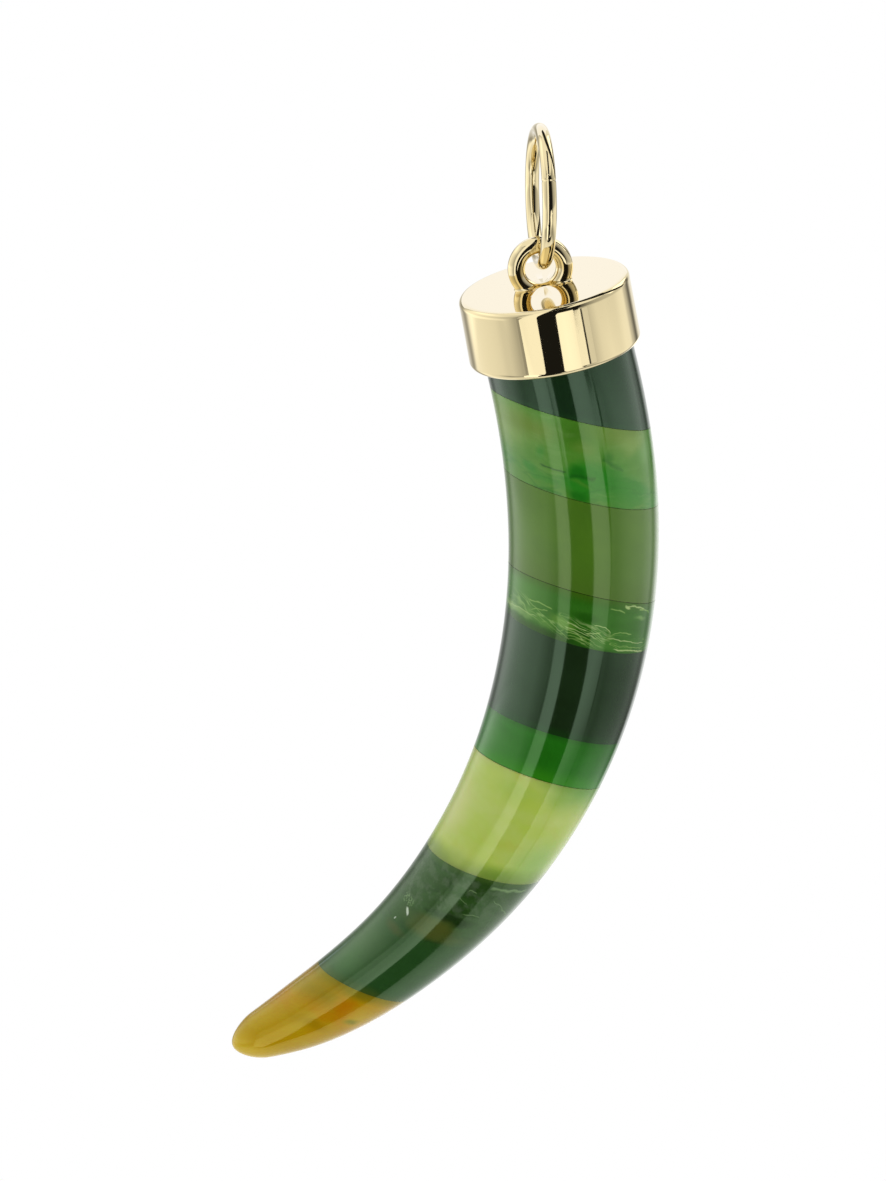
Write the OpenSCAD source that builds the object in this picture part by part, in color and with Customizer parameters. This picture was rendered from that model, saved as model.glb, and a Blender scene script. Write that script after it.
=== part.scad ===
// Tusk pendant: nine slices of cast resin glued into one curved tusk,
// set in a gold cap that hangs by its soldered eye from a jump ring.
//
// Millimetres, +Z up. The origin is the inside top of the jump ring, where a
// chain or cord carries it. The tusk curves toward -X in the plane y = 0, and
// the jump ring stands across it in the plane x = 0.

/* [Jump ring] */
// Outer diameter of the jump ring
ring_d = 11.75; // [9:0.05:14]
// Diameter of the jump ring's wire
ring_wire_d = 1.15; // [0.8:0.05:1.4]

/* [Eye] */
// Diameter of the hole in the eye
eye_hole_d = 2.5; // [2.4:0.05:3.2]
// Diameter of the eye's wire
eye_wire_d = 1.4; // [1:0.05:1.5]
// Height of the eye's centre over the cap's top
eye_rise = 1.4; // [1.35:0.05:2]
// Play between the eye and the wire that it hangs on
eye_play = 0.05; // [0.02:0.01:0.1]

/* [Cap] */
// Diameter of the cap at its top
cap_d = 13.95; // [13.8:0.05:16]
// How much wider the cap is at its rim than at its top
cap_flare = 0.1; // [0:0.05:0.6]
// Height of the cap
cap_h = 5.7; // [4.5:0.1:8]
// Thickness of the cap's top
cap_top_t = 1.4; // [1.35:0.05:2]
// Radius of the cap's rounded edges
cap_edge_r = 0.45; // [0.2:0.05:0.6]
// Lean of the cap from upright, as it hangs, in degrees
cap_lean = 10.5; // [8:0.5:14]

/* [Tusk] */
// Length of the tusk's centre line below the cap's rim
tusk_l = 73.9; // [72:0.1:90]
// Lean of the tusk where it leaves the cap, in degrees
start_lean = 14; // [9:0.5:15]
// How far the tusk turns from the cap to the tip, in degrees
turn = 86; // [50:1:100]
// How late the turn comes: 1 is an even arc, more bends nearer the tip
turn_ease = 1.24; // [1:0.02:1.6]
// How far the tusk sits off the cap's middle at the rim, away from its tip
seat_offset = 0.2; // [0:0.05:0.3]
// Length of the rounded nose at the tip
nose_l = 2.6; // [2:0.1:4]
// Cement gap between the tusk and its socket, on the radius
cement_gap = 0.05; // [0.03:0.01:0.1]
// Thickness of the glue line between two slices
glue_gap = 0.04; // [0.02:0.01:0.1]

/* [Hidden] */

// Sections of the tusk: its radius at each percentage of its length
SECTION_AT = 0;
SECTION_R = 1;
SECTIONS = [
    [0, 6.06],
    [20, 6.22],
    [40, 5.93],
    [60, 5.04],
    [75, 4.07],
    [90, 3.03],
    [100, 1.53]
];

// Glue planes from the cap to the tip: the distance along the centre line, then
// how far the plane drops toward +X and toward +Y, in degrees
GLUE_AT = 0;
GLUE_DROP = 1;
GLUE_SIDE_DROP = 2;
GLUE_PLANES = [
    [4.9, 15.5, 5],
    [11.7, 14.5, 3],
    [20.1, 15.8, 7],
    [24.2, 15.8, 3],
    [32.8, 17, 8],
    [36.9, 18.5, 7],
    [46.4, 17, 1],
    [61.4, 23.2, 4.5]
];

// Facets of the tusk
SIDES = 60;
RING_SPACING = 1.5;
// Length of one straight step of the centre line, for adding up its curve
PATH_STEP = 0.25;
// How far along the tusk from its own place a glue plane can reach, for the search
PLANE_REACH = 5;
// Halvings of that stretch in the search, to well under a micrometre
HALVINGS = 22;
// A little more than flush, where one solid is cut from another
OVERCUT = 1;

// The jump ring hangs from its inside top, and the eye from its lowest wire
ring_r = (ring_d - ring_wire_d) / 2;
ring_z = ring_wire_d / 2 - ring_r;
hinge_z = ring_z - ring_r;
eye_r = (eye_hole_d + eye_wire_d) / 2;
eye_z = hinge_z - (eye_hole_d - ring_wire_d) / 2 + eye_play;

// The cap's rim, where the tusk's centre line starts
cap_down = [sin(cap_lean), 0, -cos(cap_lean)];
cap_side = [cos(cap_lean), 0, sin(cap_lean)];
rim_point = [0, 0, eye_z] + (eye_rise + cap_h) * cap_down + seat_offset * cap_side;
socket_r = SECTIONS[0][SECTION_R] + cement_gap;
socket_depth = cap_h - cap_top_t;
tenon_l = socket_depth - cement_gap;

// Centre line of the tusk: its lean, its direction and its points
function lean(s) = start_lean - turn * pow(max(s, 0) / tusk_l, turn_ease);
function along(s) = [sin(lean(s)), 0, -cos(lean(s))];
function across(s) = [cos(lean(s)), 0, sin(lean(s))];

path_steps = ceil(tusk_l / PATH_STEP);
path = [
    for (i = 0, p = rim_point; i <= path_steps; p = p + PATH_STEP * along((i + 0.5) * PATH_STEP), i = i + 1)
        p
];

function centre(s) =
    s <= 0
        ? rim_point + s * along(0)
        : let (k = min(floor(s / PATH_STEP), path_steps - 1), part = s / PATH_STEP - k)
            path[k] * (1 - part) + path[k + 1] * part;

// Radius of the tusk: a smooth curve through SECTIONS, closed by the round nose
last_section = len(SECTIONS) - 1;

function section_slope(i) =
    let (a = SECTIONS[max(i - 1, 0)], b = SECTIONS[min(i + 1, last_section)])
        (b[SECTION_R] - a[SECTION_R]) / (b[SECTION_AT] - a[SECTION_AT]);

function section_before(at, i = 0) =
    i + 1 < last_section && SECTIONS[i + 1][SECTION_AT] <= at ? section_before(at, i + 1) : i;

function profile_r(at) =
    let (
        i = section_before(at),
        a = SECTIONS[i],
        b = SECTIONS[i + 1],
        w = b[SECTION_AT] - a[SECTION_AT],
        u = (at - a[SECTION_AT]) / w
    )
        (1 + 2 * u) * (1 - u) * (1 - u) * a[SECTION_R]
        + u * (1 - u) * (1 - u) * w * section_slope(i)
        + u * u * (3 - 2 * u) * b[SECTION_R]
        - u * u * (1 - u) * w * section_slope(i + 1);

function nose_share(s) =
    let (left = min((tusk_l - s) / nose_l, 1)) sqrt(max(0, 1 - (1 - left) * (1 - left)));

function radius(s) = profile_r(100 * max(s, 0) / tusk_l) * nose_share(s);

// A point of the tusk's skin: distance along the tusk and angle round it
function skin(s, a) = centre(s) + radius(s) * (cos(a) * across(s) + sin(a) * [0, 1, 0]);

// Glue planes: height of a point over plane k, and where the skin crosses it
function glue_normal(k) =
    let (n = [tan(GLUE_PLANES[k][GLUE_DROP]), tan(GLUE_PLANES[k][GLUE_SIDE_DROP]), 1]) n / norm(n);

function height_over(p, k) = (p - centre(GLUE_PLANES[k][GLUE_AT])) * glue_normal(k);

function crossing(k, height, a, from, to, left = HALVINGS) =
    let (mid = (from + to) / 2)
        left == 0
            ? mid
            : height_over(skin(mid, a), k) > height
                ? crossing(k, height, a, mid, to, left - 1)
                : crossing(k, height, a, from, mid, left - 1);

function cut_at(k, height, a) =
    let (at = GLUE_PLANES[k][GLUE_AT]) crossing(k, height, a, at - PLANE_REACH, at + PLANE_REACH);

// Where a slice starts and ends along the tusk, at an angle round it
last_slice = len(GLUE_PLANES);
function slice_from(n, a) = n == 0 ? -tenon_l : cut_at(n - 1, -glue_gap / 2, a);
function slice_to(n, a) = n == last_slice ? tusk_l : cut_at(n, glue_gap / 2, a);

function slice_length(n) =
    let (
        from = n == 0 ? -tenon_l : GLUE_PLANES[n - 1][GLUE_AT],
        to = n == last_slice ? tusk_l : GLUE_PLANES[n][GLUE_AT]
    )
        to - from;

// One slice of the tusk between its two glue planes, the last one closed in a point
module slice(n) {
    pointed = n == last_slice;
    bands = ceil(slice_length(n) / RING_SPACING);
    rings = pointed ? bands : bands + 1;
    angles = [for (i = [0 : SIDES - 1]) 360 * i / SIDES];
    starts = [for (a = angles) slice_from(n, a)];
    ends = [for (a = angles) slice_to(n, a)];
    // The rings of the pointed slice draw closer toward its nose
    shares = [for (k = [0 : rings - 1]) pointed ? sin(90 * k / bands) : k / bands];
    points = [
        for (share = shares)
            for (i = [0 : SIDES - 1])
                skin(starts[i] + share * (ends[i] - starts[i]), angles[i])
    ];
    sides = [
        for (k = [0 : rings - 2])
            for (i = [0 : SIDES - 1])
                let (j = (i + 1) % SIDES, low = k * SIDES, high = low + SIDES)
                    each [[low + i, low + j, high + j], [low + i, high + j, high + i]]
    ];
    first_end = [for (i = [SIDES - 1 : -1 : 0]) i];
    last_ring = (rings - 1) * SIDES;
    flat_end = [[for (i = [0 : SIDES - 1]) last_ring + i]];
    nose = [for (i = [0 : SIDES - 1]) [last_ring + i, last_ring + (i + 1) % SIDES, rings * SIDES]];
    polyhedron(
        points = pointed ? concat(points, [centre(tusk_l)]) : points,
        faces = concat([first_end], sides, pointed ? nose : flat_end),
        convexity = 4
    );
}

// A ring of round wire in the plane z = 0
module wire_ring(middle_r, wire_d) {
    rotate_extrude($fn = 128)
        translate([middle_r, 0])
            circle(d = wire_d, $fn = 48);
}

// Half of the cap's outline, from its axis out, with its top at y = 0
module cap_outline() {
    top_r = cap_d / 2;
    rim_r = top_r + cap_flare / 2;
    top_corner = [top_r - cap_edge_r, -cap_edge_r];
    rim_corner = [rim_r - cap_edge_r, cap_edge_r - cap_h];
    fall = rim_corner - top_corner;
    outward = cap_edge_r * [-fall.y, fall.x] / norm(fall);
    polygon([
        [0, 0],
        [top_corner.x, 0],
        top_corner,
        top_corner + outward,
        rim_corner + outward,
        rim_corner,
        [rim_corner.x, -cap_h],
        [0, -cap_h]
    ]);
    for (corner = [top_corner, rim_corner])
        translate(corner)
            circle(r = cap_edge_r, $fn = 64);
}

// Jump ring: closed round wire that a chain runs through
module jump_ring() {
    color([0.93, 0.82, 0.55])
        translate([0, 0, ring_z])
            rotate([0, 90, 0])
                wire_ring(ring_r, ring_wire_d);
}

// Gold cap, bored for the tusk, with the eye soldered into its top
module cap() {
    color([0.94, 0.84, 0.58])
        difference() {
            translate([0, 0, eye_z])
                rotate([0, -cap_lean, 0]) {
                    rotate([90, 0, 0])
                        wire_ring(eye_r, eye_wire_d);
                    translate([0, 0, -eye_rise])
                        rotate_extrude($fn = 180)
                            cap_outline();
                }
            translate(rim_point)
                rotate([0, -start_lean, 0])
                    translate([0, 0, -OVERCUT])
                        cylinder(r = socket_r, h = socket_depth + OVERCUT, $fn = 180);
        }
}

// Slice under the cap, with the tenon that fills the socket
module slice_1_dark_green() {
    color([0.09, 0.17, 0.09]) slice(0);
}

module slice_2_marbled_green() {
    color([0.38, 0.58, 0.24]) slice(1);
}

module slice_3_olive() {
    color([0.30, 0.44, 0.16]) slice(2);
}

module slice_4_wispy_green() {
    color([0.27, 0.52, 0.20]) slice(3);
}

module slice_5_black_green() {
    color([0.08, 0.14, 0.07]) slice(4);
}

module slice_6_mid_green() {
    color([0.10, 0.45, 0.12]) slice(5);
}

module slice_7_lime() {
    color([0.62, 0.69, 0.36]) slice(6);
}

module slice_8_moss() {
    color([0.13, 0.27, 0.12]) slice(7);
}

// Slice at the tip, with the rounded nose
module slice_9_amber() {
    color([0.72, 0.56, 0.12]) slice(8);
}

jump_ring();
cap();
slice_1_dark_green();
slice_2_marbled_green();
slice_3_olive();
slice_4_wispy_green();
slice_5_black_green();
slice_6_mid_green();
slice_7_lime();
slice_8_moss();
slice_9_amber();
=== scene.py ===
# %% [markdown]
# # A tusk pendant of gold and cast resin
#
# The pendant is a curved tusk, glued up from nine slices of coloured cast resin and turned and polished as
# one. Its thick end sits in a gold cap. The eye on the cap hangs from a gold jump ring, which a chain runs
# through.
#
# The imported CAD model is the fixed frame: it says where everything is and how big it is. Blender adds the
# finish. So the first cell loads the frame. The looks may not outgrow it.

import math

import bmesh
import bpy
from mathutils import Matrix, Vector


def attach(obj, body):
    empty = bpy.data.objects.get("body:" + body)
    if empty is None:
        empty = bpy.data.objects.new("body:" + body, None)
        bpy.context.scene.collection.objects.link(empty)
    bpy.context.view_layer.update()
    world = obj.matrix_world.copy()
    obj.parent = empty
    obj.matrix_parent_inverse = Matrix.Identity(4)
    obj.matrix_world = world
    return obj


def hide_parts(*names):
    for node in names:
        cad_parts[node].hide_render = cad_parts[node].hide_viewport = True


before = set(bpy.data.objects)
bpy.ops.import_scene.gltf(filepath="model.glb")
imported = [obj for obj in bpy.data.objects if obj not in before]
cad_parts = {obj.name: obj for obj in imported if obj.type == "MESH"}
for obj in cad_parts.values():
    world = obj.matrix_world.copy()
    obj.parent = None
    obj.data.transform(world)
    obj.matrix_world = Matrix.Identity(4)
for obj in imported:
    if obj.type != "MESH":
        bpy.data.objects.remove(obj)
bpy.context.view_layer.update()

# %% [markdown]
# ## The camera
#
# A product photograph of a pendant is taken from far off with a long lens, so that round things stay round.
# The camera is placed by angles round the object, not by coordinates: so many degrees to the side, so many
# up. Its target is the middle of the picture. The lens follows from the height that the picture covers
# there.

# %% Camera
MM = 0.001
CAMERA_SIDE = math.radians(-6.4)
CAMERA_RISE = math.radians(20.17)
CAMERA_TARGET = Vector((-7.87, 0, -37.98)) * MM
CAMERA_DISTANCE = 360 * MM
PICTURE_HEIGHT = 97.32 * MM

toward_camera = Vector((math.sin(CAMERA_SIDE), -math.cos(CAMERA_SIDE), 0))
to_the_right = Vector((math.cos(CAMERA_SIDE), math.sin(CAMERA_SIDE), 0))
camera_back = toward_camera * math.cos(CAMERA_RISE) + Vector((0, 0, math.sin(CAMERA_RISE)))


def placed(name, data):
    """A new object in the scene."""
    thing = bpy.data.objects.new(name, data)
    bpy.context.scene.collection.objects.link(thing)
    return thing


camera = placed("camera", bpy.data.cameras.new("camera"))
camera.location = CAMERA_TARGET + CAMERA_DISTANCE * camera_back
camera.rotation_euler = (-camera_back).to_track_quat("-Z", "Y").to_euler()
camera.data.lens = camera.data.sensor_width * CAMERA_DISTANCE / PICTURE_HEIGHT
camera.data.clip_start = 10 * MM
camera.data.clip_end = 20
bpy.context.scene.camera = camera
print("Lens in mm:", round(camera.data.lens, 1))

# %% [markdown]
# ## A small kit for node trees
#
# Materials and Geometry Nodes are both node trees. Clicking them together is quick to look at but slow to
# repeat. Two short classes make it quick to write. A Value is a node's output, and each arithmetic sign
# between values adds one Math node.

# %% Values
class Value:
    """A node's output, which arithmetic signs work on."""

    def __init__(self, bench, socket):
        self.bench = bench
        self.socket = socket

    def __add__(self, other):
        return self.bench.math("ADD", self, other)

    def __sub__(self, other):
        return self.bench.math("SUBTRACT", self, other)

    def __rsub__(self, other):
        return self.bench.math("SUBTRACT", other, self)

    def __mul__(self, other):
        return self.bench.math("MULTIPLY", self, other)

    def __truediv__(self, other):
        return self.bench.math("DIVIDE", self, other)

    def __rtruediv__(self, other):
        return self.bench.math("DIVIDE", other, self)

# %% [markdown]
# A Bench puts a node into its tree, sets the node's options and fills its inputs in one call. An input is
# given as a number, a colour or a vector, or as another node's output, which is then linked.

# %% Node bench
class Bench:
    """Adds nodes to one tree and links them."""

    def __init__(self, tree, title):
        self.tree = tree
        self.title = title
        self.count = 0

    def add(self, kind, options=None, inputs=None):
        node = self.tree.nodes.new(kind)
        node.location = (200 * (self.count % 12), -240 * (self.count // 12))
        self.count += 1
        for name, value in (options or {}).items():
            setattr(node, name, value)
        for key, value in (inputs or {}).items():
            self.feed(node.inputs[key], value)
        return node

    def feed(self, socket, value):
        if isinstance(value, Value):
            self.tree.links.new(value.socket, socket)
        else:
            socket.default_value = value

    def out(self, kind, inputs=None, output=0, options=None):
        """One output of a new node."""
        return Value(self, self.add(kind, options, inputs).outputs[output])

    def use(self, group, inputs):
        """The outputs, by name, of a new node that holds a group."""
        node = self.add(group.bl_idname.replace("Tree", "Group"), {"node_tree": group}, inputs)
        return {socket.name: Value(self, socket) for socket in node.outputs}

    def give(self, **values):
        """Feeds the outputs of the group that is being built, and gives the group."""
        for label, value in values.items():
            self.feed(self.result[label], value)
        print("Group", self.title, "of", len(self.tree.nodes), "nodes")
        return self.tree

    def math(self, operation, a, b=0.0):
        return self.out("ShaderNodeMath", {0: a, 1: b}, 0, {"operation": operation})

    def vector(self, operation, a, b=(0, 0, 0)):
        output = "Value" if operation == "DOT_PRODUCT" else "Vector"
        return self.out("ShaderNodeVectorMath", {0: a, 1: b}, output, {"operation": operation})

    def scaled(self, vector, factor):
        inputs = {0: vector, "Scale": factor}
        return self.out("ShaderNodeVectorMath", inputs, "Vector", {"operation": "SCALE"})

    def combine(self, x, y, z):
        return self.out("ShaderNodeCombineXYZ", {0: x, 1: y, 2: z})

    def parts(self, vector):
        node = self.add("ShaderNodeSeparateXYZ", None, {0: vector})
        return [Value(self, socket) for socket in node.outputs]

    def noise(self, place, scale, detail, output="Fac"):
        return self.out("ShaderNodeTexNoise", {"Vector": place, "Scale": scale, "Detail": detail}, output)

    def ramp(self, value, low, high, start=0.0, end=1.0):
        inputs = {0: value, 1: low, 2: high, 3: start, 4: end}
        return self.out("ShaderNodeMapRange", inputs, 0, {"interpolation_type": "SMOOTHSTEP"})

    def fall(self, value, low, high):
        """1 up to the low end, 0 from the high end on."""
        return self.ramp(value, low, high, 1.0, 0.0)

# %% Node groups
FLOAT = "NodeSocketFloat"
VECTOR = "NodeSocketVector"
GEOMETRY = "NodeSocketGeometry"
MATERIAL = "NodeSocketMaterial"
SOCKET_FOR = {float: FLOAT, int: "NodeSocketInt", bool: "NodeSocketBool", tuple: VECTOR}


def new_group(name, kind, inputs, outputs):
    """A bench for a new group, and its inputs' values. An input is given by its default or its type."""
    group = bpy.data.node_groups.new(name, kind)
    for label, default in inputs.items():
        socket_type = SOCKET_FOR.get(type(default), default)
        socket = group.interface.new_socket(label, in_out="INPUT", socket_type=socket_type)
        if socket_type != default:
            socket.default_value = default
    for label, socket_type in outputs.items():
        group.interface.new_socket(label, in_out="OUTPUT", socket_type=socket_type)
    bench = Bench(group, name)
    source = {socket.name: Value(bench, socket) for socket in bench.add("NodeGroupInput").outputs}
    bench.result = bench.add("NodeGroupOutput").inputs
    return bench, source

# %% [markdown]
# ## From a live modifier to a plain mesh
#
# A Geometry Nodes modifier is set through the identifiers of its inputs, since two inputs may share a name.
# Once it is set, the evaluated object holds the result, and that result is copied into a plain mesh. The
# object that carried the modifier has done its work then, and is removed.

# %% Modifier to mesh
CREASE = math.radians(30)


def set_inputs(modifier, values):
    for item in modifier.node_group.interface.items_tree:
        if item.item_type == "SOCKET" and item.in_out == "INPUT" and item.name in values:
            modifier[item.identifier] = values[item.name]


def evaluated_mesh(thing, name):
    depsgraph = bpy.context.evaluated_depsgraph_get()
    mesh = bpy.data.meshes.new_from_object(thing.evaluated_get(depsgraph), depsgraph=depsgraph)
    mesh.name = name
    return mesh


def turn_outward(mesh):
    """Turns a closed mesh's faces outward and prints what it encloses."""
    work = bmesh.new()
    work.from_mesh(mesh)
    bmesh.ops.recalc_face_normals(work, faces=work.faces)
    if work.calc_volume(signed=True) < 0:
        bmesh.ops.reverse_faces(work, faces=work.faces)
    volume = round(work.calc_volume() / MM ** 3, 1)
    open_edges = sum(1 for edge in work.edges if len(edge.link_faces) != 2)
    print(mesh.name, len(work.verts), "points,", volume, "mm3,", open_edges, "open edges")
    work.to_mesh(mesh)
    work.free()


def grown(name, tree, values, start_mesh=None):
    """The plain mesh piece that a node tree grows from its inputs."""
    host = placed(name + "_host", start_mesh or bpy.data.meshes.new(name + "_host"))
    modifier = host.modifiers.new("grow", "NODES")
    modifier.node_group = tree
    set_inputs(modifier, values)
    mesh = evaluated_mesh(host, name)
    host.modifiers.remove(modifier)
    bpy.data.objects.remove(host)
    turn_outward(mesh)
    mesh.set_sharp_from_angle(angle=CREASE)
    return placed(name, mesh)


def give_mesh(bench, source, mesh):
    """Ends a node tree: its mesh is made real and gets the material."""
    real = bench.out("GeometryNodeRealizeInstances", {"Geometry": mesh})
    painted = bench.out("GeometryNodeSetMaterial", {"Geometry": real, "Material": source["Material"]})
    return bench.give(Geometry=painted)

# %% [markdown]
# ## Colours
#
# A colour picker shows brightness as the eye sees it, and a renderer counts light. This helper turns the
# picker's numbers, 0 to 255, into amounts of light.

# %% Tones
def light_amount(byte):
    share = byte / 255
    return share / 12.92 if share <= 0.04045 else ((share + 0.055) / 1.055) ** 2.4


def tone(red, green, blue):
    return (light_amount(red), light_amount(green), light_amount(blue), 1.0)


def new_material(name):
    material = bpy.data.materials.new(name)
    material.use_nodes = True
    material.node_tree.nodes.clear()
    return material, Bench(material.node_tree, name)

# %% [markdown]
# ## Shared effect: hand polish
#
# Polished resin and gold are never perfectly even. A buffing wheel leaves a very slight waviness, patches
# that are a touch less glossy, and hairline scratches. One group makes all three for every material here.
# It puts out a roughness and a height, and the material's own Bump node turns the height into a normal.

# %% Hand polish group
def make_polish_group():
    bench, source = new_group(
        "hand_polish", "ShaderNodeTree", {"Gloss": 0.05, "Haze": 0.03, "Patch size": 3.0, "Scratches": 0.2},
        {"Roughness": FLOAT, "Height": FLOAT})
    place = bench.scaled(bench.out("ShaderNodeTexCoord", None, "Object"), 1 / MM)
    patches = bench.noise(place, 1 / source["Patch size"], 3.0)
    hairlines = bench.noise(bench.vector("MULTIPLY", place, (9.0, 9.0, 0.5)), 2.5, 4.0)
    scratches = bench.ramp(hairlines, 0.62, 0.7) * source["Scratches"]
    haze = bench.ramp(patches, 0.4, 0.75) * source["Haze"]
    return bench.give(Roughness=source["Gloss"] + haze + scratches * 0.1, Height=patches + scratches * -0.02)


polish_group = make_polish_group()


def give_polished(bench, wave, polish, looks):
    """Ends a material: a Principled shader with its looks and the hand polish, its waves so many mm high."""
    polish = bench.use(polish_group, polish)
    bump = bench.out("ShaderNodeBump", {
        "Strength": 1.0, "Distance": wave * MM, "Height": polish["Height"]}, "Normal")
    shader = bench.out("ShaderNodeBsdfPrincipled", {
        **looks, "Roughness": polish["Roughness"], "Normal": bump}, "BSDF")
    bench.add("ShaderNodeOutputMaterial", None, {"Surface": shader})
    print("Material", bench.title, "of", len(bench.tree.nodes), "nodes")

# %% [markdown]
# ## Gold
#
# Eighteen carat gold is a metal: it has no body colour, only tinted reflections, so Metallic is 1 and the
# base colour is the tint. Most of its look comes from what stands round it, which the studio cells below
# take care of.

# %% Gold material
GOLD_TINT = (0.81, 0.69, 0.41, 1)
GOLD_WAVE = 0.0004

gold, gold_bench = new_material("polished_gold")
give_polished(gold_bench, GOLD_WAVE, {"Gloss": 0.03, "Haze": 0.02, "Patch size": 2.5, "Scratches": 0.3},
              {"Base Color": GOLD_TINT, "Metallic": 1.0})

# %% [markdown]
# ## The jump ring
#
# A jump ring is round wire, bent into a circle and soldered shut. A polished joint still shows as a
# hairline round the wire. A torus from the menu has no place for that, so a small Geometry Nodes tree
# sweeps a round profile along a circle and draws it in slightly where the joint is.

# %% Wire ring tree
def make_wire_ring_tree():
    bench, source = new_group(
        "wire_ring", "GeometryNodeTree",
        {"Ring radius": 0.005, "Wire radius": 0.0006, "Steps round the ring": 900, "Steps round the wire": 40,
         "Centre": VECTOR, "Joint at": 0.25, "Joint width": 0.002, "Joint depth": 0.04, "Material": MATERIAL},
        {"Geometry": GEOMETRY})

    def circle(steps, radius):
        inputs = {"Resolution": source[steps], "Radius": source[radius]}
        return bench.out("GeometryNodeCurvePrimitiveCircle", inputs)

    upright = bench.out("GeometryNodeTransform", {
        "Geometry": circle("Steps round the ring", "Ring radius"), "Translation": source["Centre"],
        "Rotation": (0, math.radians(-90), 0)})
    along = bench.out("GeometryNodeSplineParameter", None, "Factor")
    off_joint = (along - source["Joint at"]) / source["Joint width"]
    dip = bench.math("EXPONENT", off_joint * off_joint * -1.0)
    swept = bench.out("GeometryNodeCurveToMesh", {
        "Curve": upright, "Profile Curve": circle("Steps round the wire", "Wire radius"),
        "Scale": 1.0 - dip * source["Joint depth"]})
    return give_mesh(bench, source, bench.out("GeometryNodeSetShadeSmooth", {"Geometry": swept}))


wire_ring_tree = make_wire_ring_tree()

# %% Jump ring
RING_D = 11.75 * MM
RING_WIRE_D = 1.15 * MM
ring_radius = (RING_D - RING_WIRE_D) / 2
ring_centre_z = RING_WIRE_D / 2 - ring_radius

jump_ring = grown("jump_ring_gold", wire_ring_tree, {
    "Ring radius": ring_radius, "Wire radius": RING_WIRE_D / 2, "Centre": (0, 0, ring_centre_z),
    "Joint at": 0.828, "Joint width": 0.0018, "Joint depth": 0.06, "Material": gold})
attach(jump_ring, "ring")
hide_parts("jump_ring")

# %% [markdown]
# ## The cap and its eye
#
# The cap is a short cup, turned from bar and bored at a slight angle, because the tusk enters it leaning. A
# spun profile gives the outside, but the leaning bore doesn't share its axis. So the cup is built from
# rings of points, all with the same number of points: the outer rings are round the cap's axis, the inner
# ones round the tusk's. Joined ring by ring they make one closed skin. A ring close to each rounded edge
# keeps smooth shading from bending the light on the flat top and the straight side.

# %% Frame of the cap
EYE_HOLE_D = 2.5 * MM
EYE_WIRE_D = 1.4 * MM
EYE_RISE = 1.4 * MM
EYE_PLAY = 0.05 * MM
CAP_D = 13.95 * MM
CAP_FLARE = 0.1 * MM
CAP_H = 5.7 * MM
CAP_TOP_T = 1.4 * MM
CAP_EDGE_R = 0.45 * MM
CAP_LEAN = math.radians(10.5)
TUSK_LEAN = math.radians(14)
SEAT_OFFSET = 0.2 * MM
CEMENT_GAP = 0.05 * MM
TUSK_TOP_R = 6.06 * MM


def down_at(lean):
    """Down along an axis that leans to the right."""
    return Vector((math.sin(lean), 0, -math.cos(lean)))


def across_at(lean):
    return Vector((math.cos(lean), 0, math.sin(lean)))


hinge_z = ring_centre_z - ring_radius
eye_r = (EYE_HOLE_D + EYE_WIRE_D) / 2
eye_centre = Vector((0, 0, hinge_z - (EYE_HOLE_D - RING_WIRE_D) / 2 + EYE_PLAY))
cap_up = -down_at(CAP_LEAN)
cap_side = across_at(CAP_LEAN)
cap_top = eye_centre - EYE_RISE * cap_up
rim_point = cap_top - CAP_H * cap_up + SEAT_OFFSET * cap_side
FRONT_TO_BACK = Vector((0, 1, 0))
print("Rim of the cap in mm:", [round(1000 * x, 3) for x in rim_point])


def in_cap(x, y, z):
    """A point given from the middle of the cap's top."""
    return cap_top + x * cap_side + y * FRONT_TO_BACK + z * cap_up

# %% One ring of the cup
ROUND_STEPS = 256
ARC_STEPS = 14


def turns(count):
    return [2 * math.pi * i / count for i in range(count)]


def cap_ring(radius, height):
    return [in_cap(radius * math.cos(a), radius * math.sin(a), height) for a in turns(ROUND_STEPS)]


def arc(middle_r, middle_z, from_deg, to_deg):
    """Rings along a rounded edge of the cap."""
    rings = []
    for i in range(ARC_STEPS + 1):
        angle = math.radians(from_deg + (to_deg - from_deg) * i / ARC_STEPS)
        radius = middle_r + CAP_EDGE_R * math.cos(angle)
        rings.append(cap_ring(radius, middle_z + CAP_EDGE_R * math.sin(angle)))
    return rings


def bore_ring(radius, depth=None):
    """A ring round the tusk's axis: at a depth in the cap, or where the bore meets the cap's flat rim."""
    down = down_at(TUSK_LEAN)
    across = across_at(TUSK_LEAN)
    ring = []
    for a in turns(ROUND_STEPS):
        point = rim_point + radius * (math.cos(a) * across + math.sin(a) * FRONT_TO_BACK)
        if depth is None:
            point -= down * ((point - rim_point).dot(cap_up) / down.dot(cap_up))
        else:
            point -= down * depth
        ring.append(point)
    return ring

# %% Skin over rings
def new_mesh(name, points, faces, edges=()):
    mesh = bpy.data.meshes.new(name)
    mesh.from_pydata(points, edges, faces)
    return mesh


def band_faces(rings, count, first=0, closed=False):
    """Faces over rings of equal count, and from the last ring to the first if closed."""
    faces = []
    for k in range(rings if closed else rings - 1):
        low = first + k * count
        high = first + (k + 1) % rings * count
        for i in range(count):
            j = (i + 1) % count
            faces.append((low + i, high + i, high + j, low + j))
    return faces


def skin_of_rings(name, rings):
    """A closed mesh over rings of equal count, with a point at each end."""
    count = len(rings[1])
    points = [rings[0]] + [p for ring in rings[1:-1] for p in ring] + [rings[-1]]
    last = len(points) - 1
    low = last - count
    faces = [(0, 1 + i, 1 + (i + 1) % count) for i in range(count)]
    faces += band_faces(len(rings) - 2, count, 1)
    faces += [(last, low + (i + 1) % count, low + i) for i in range(count)]
    mesh = new_mesh(name, points, faces)
    turn_outward(mesh)
    return placed(name, mesh)

# %% Rings of the cup
HOLD_SHARES = (0.02, 0.98)
TOP_HOLD = 1.2

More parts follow.
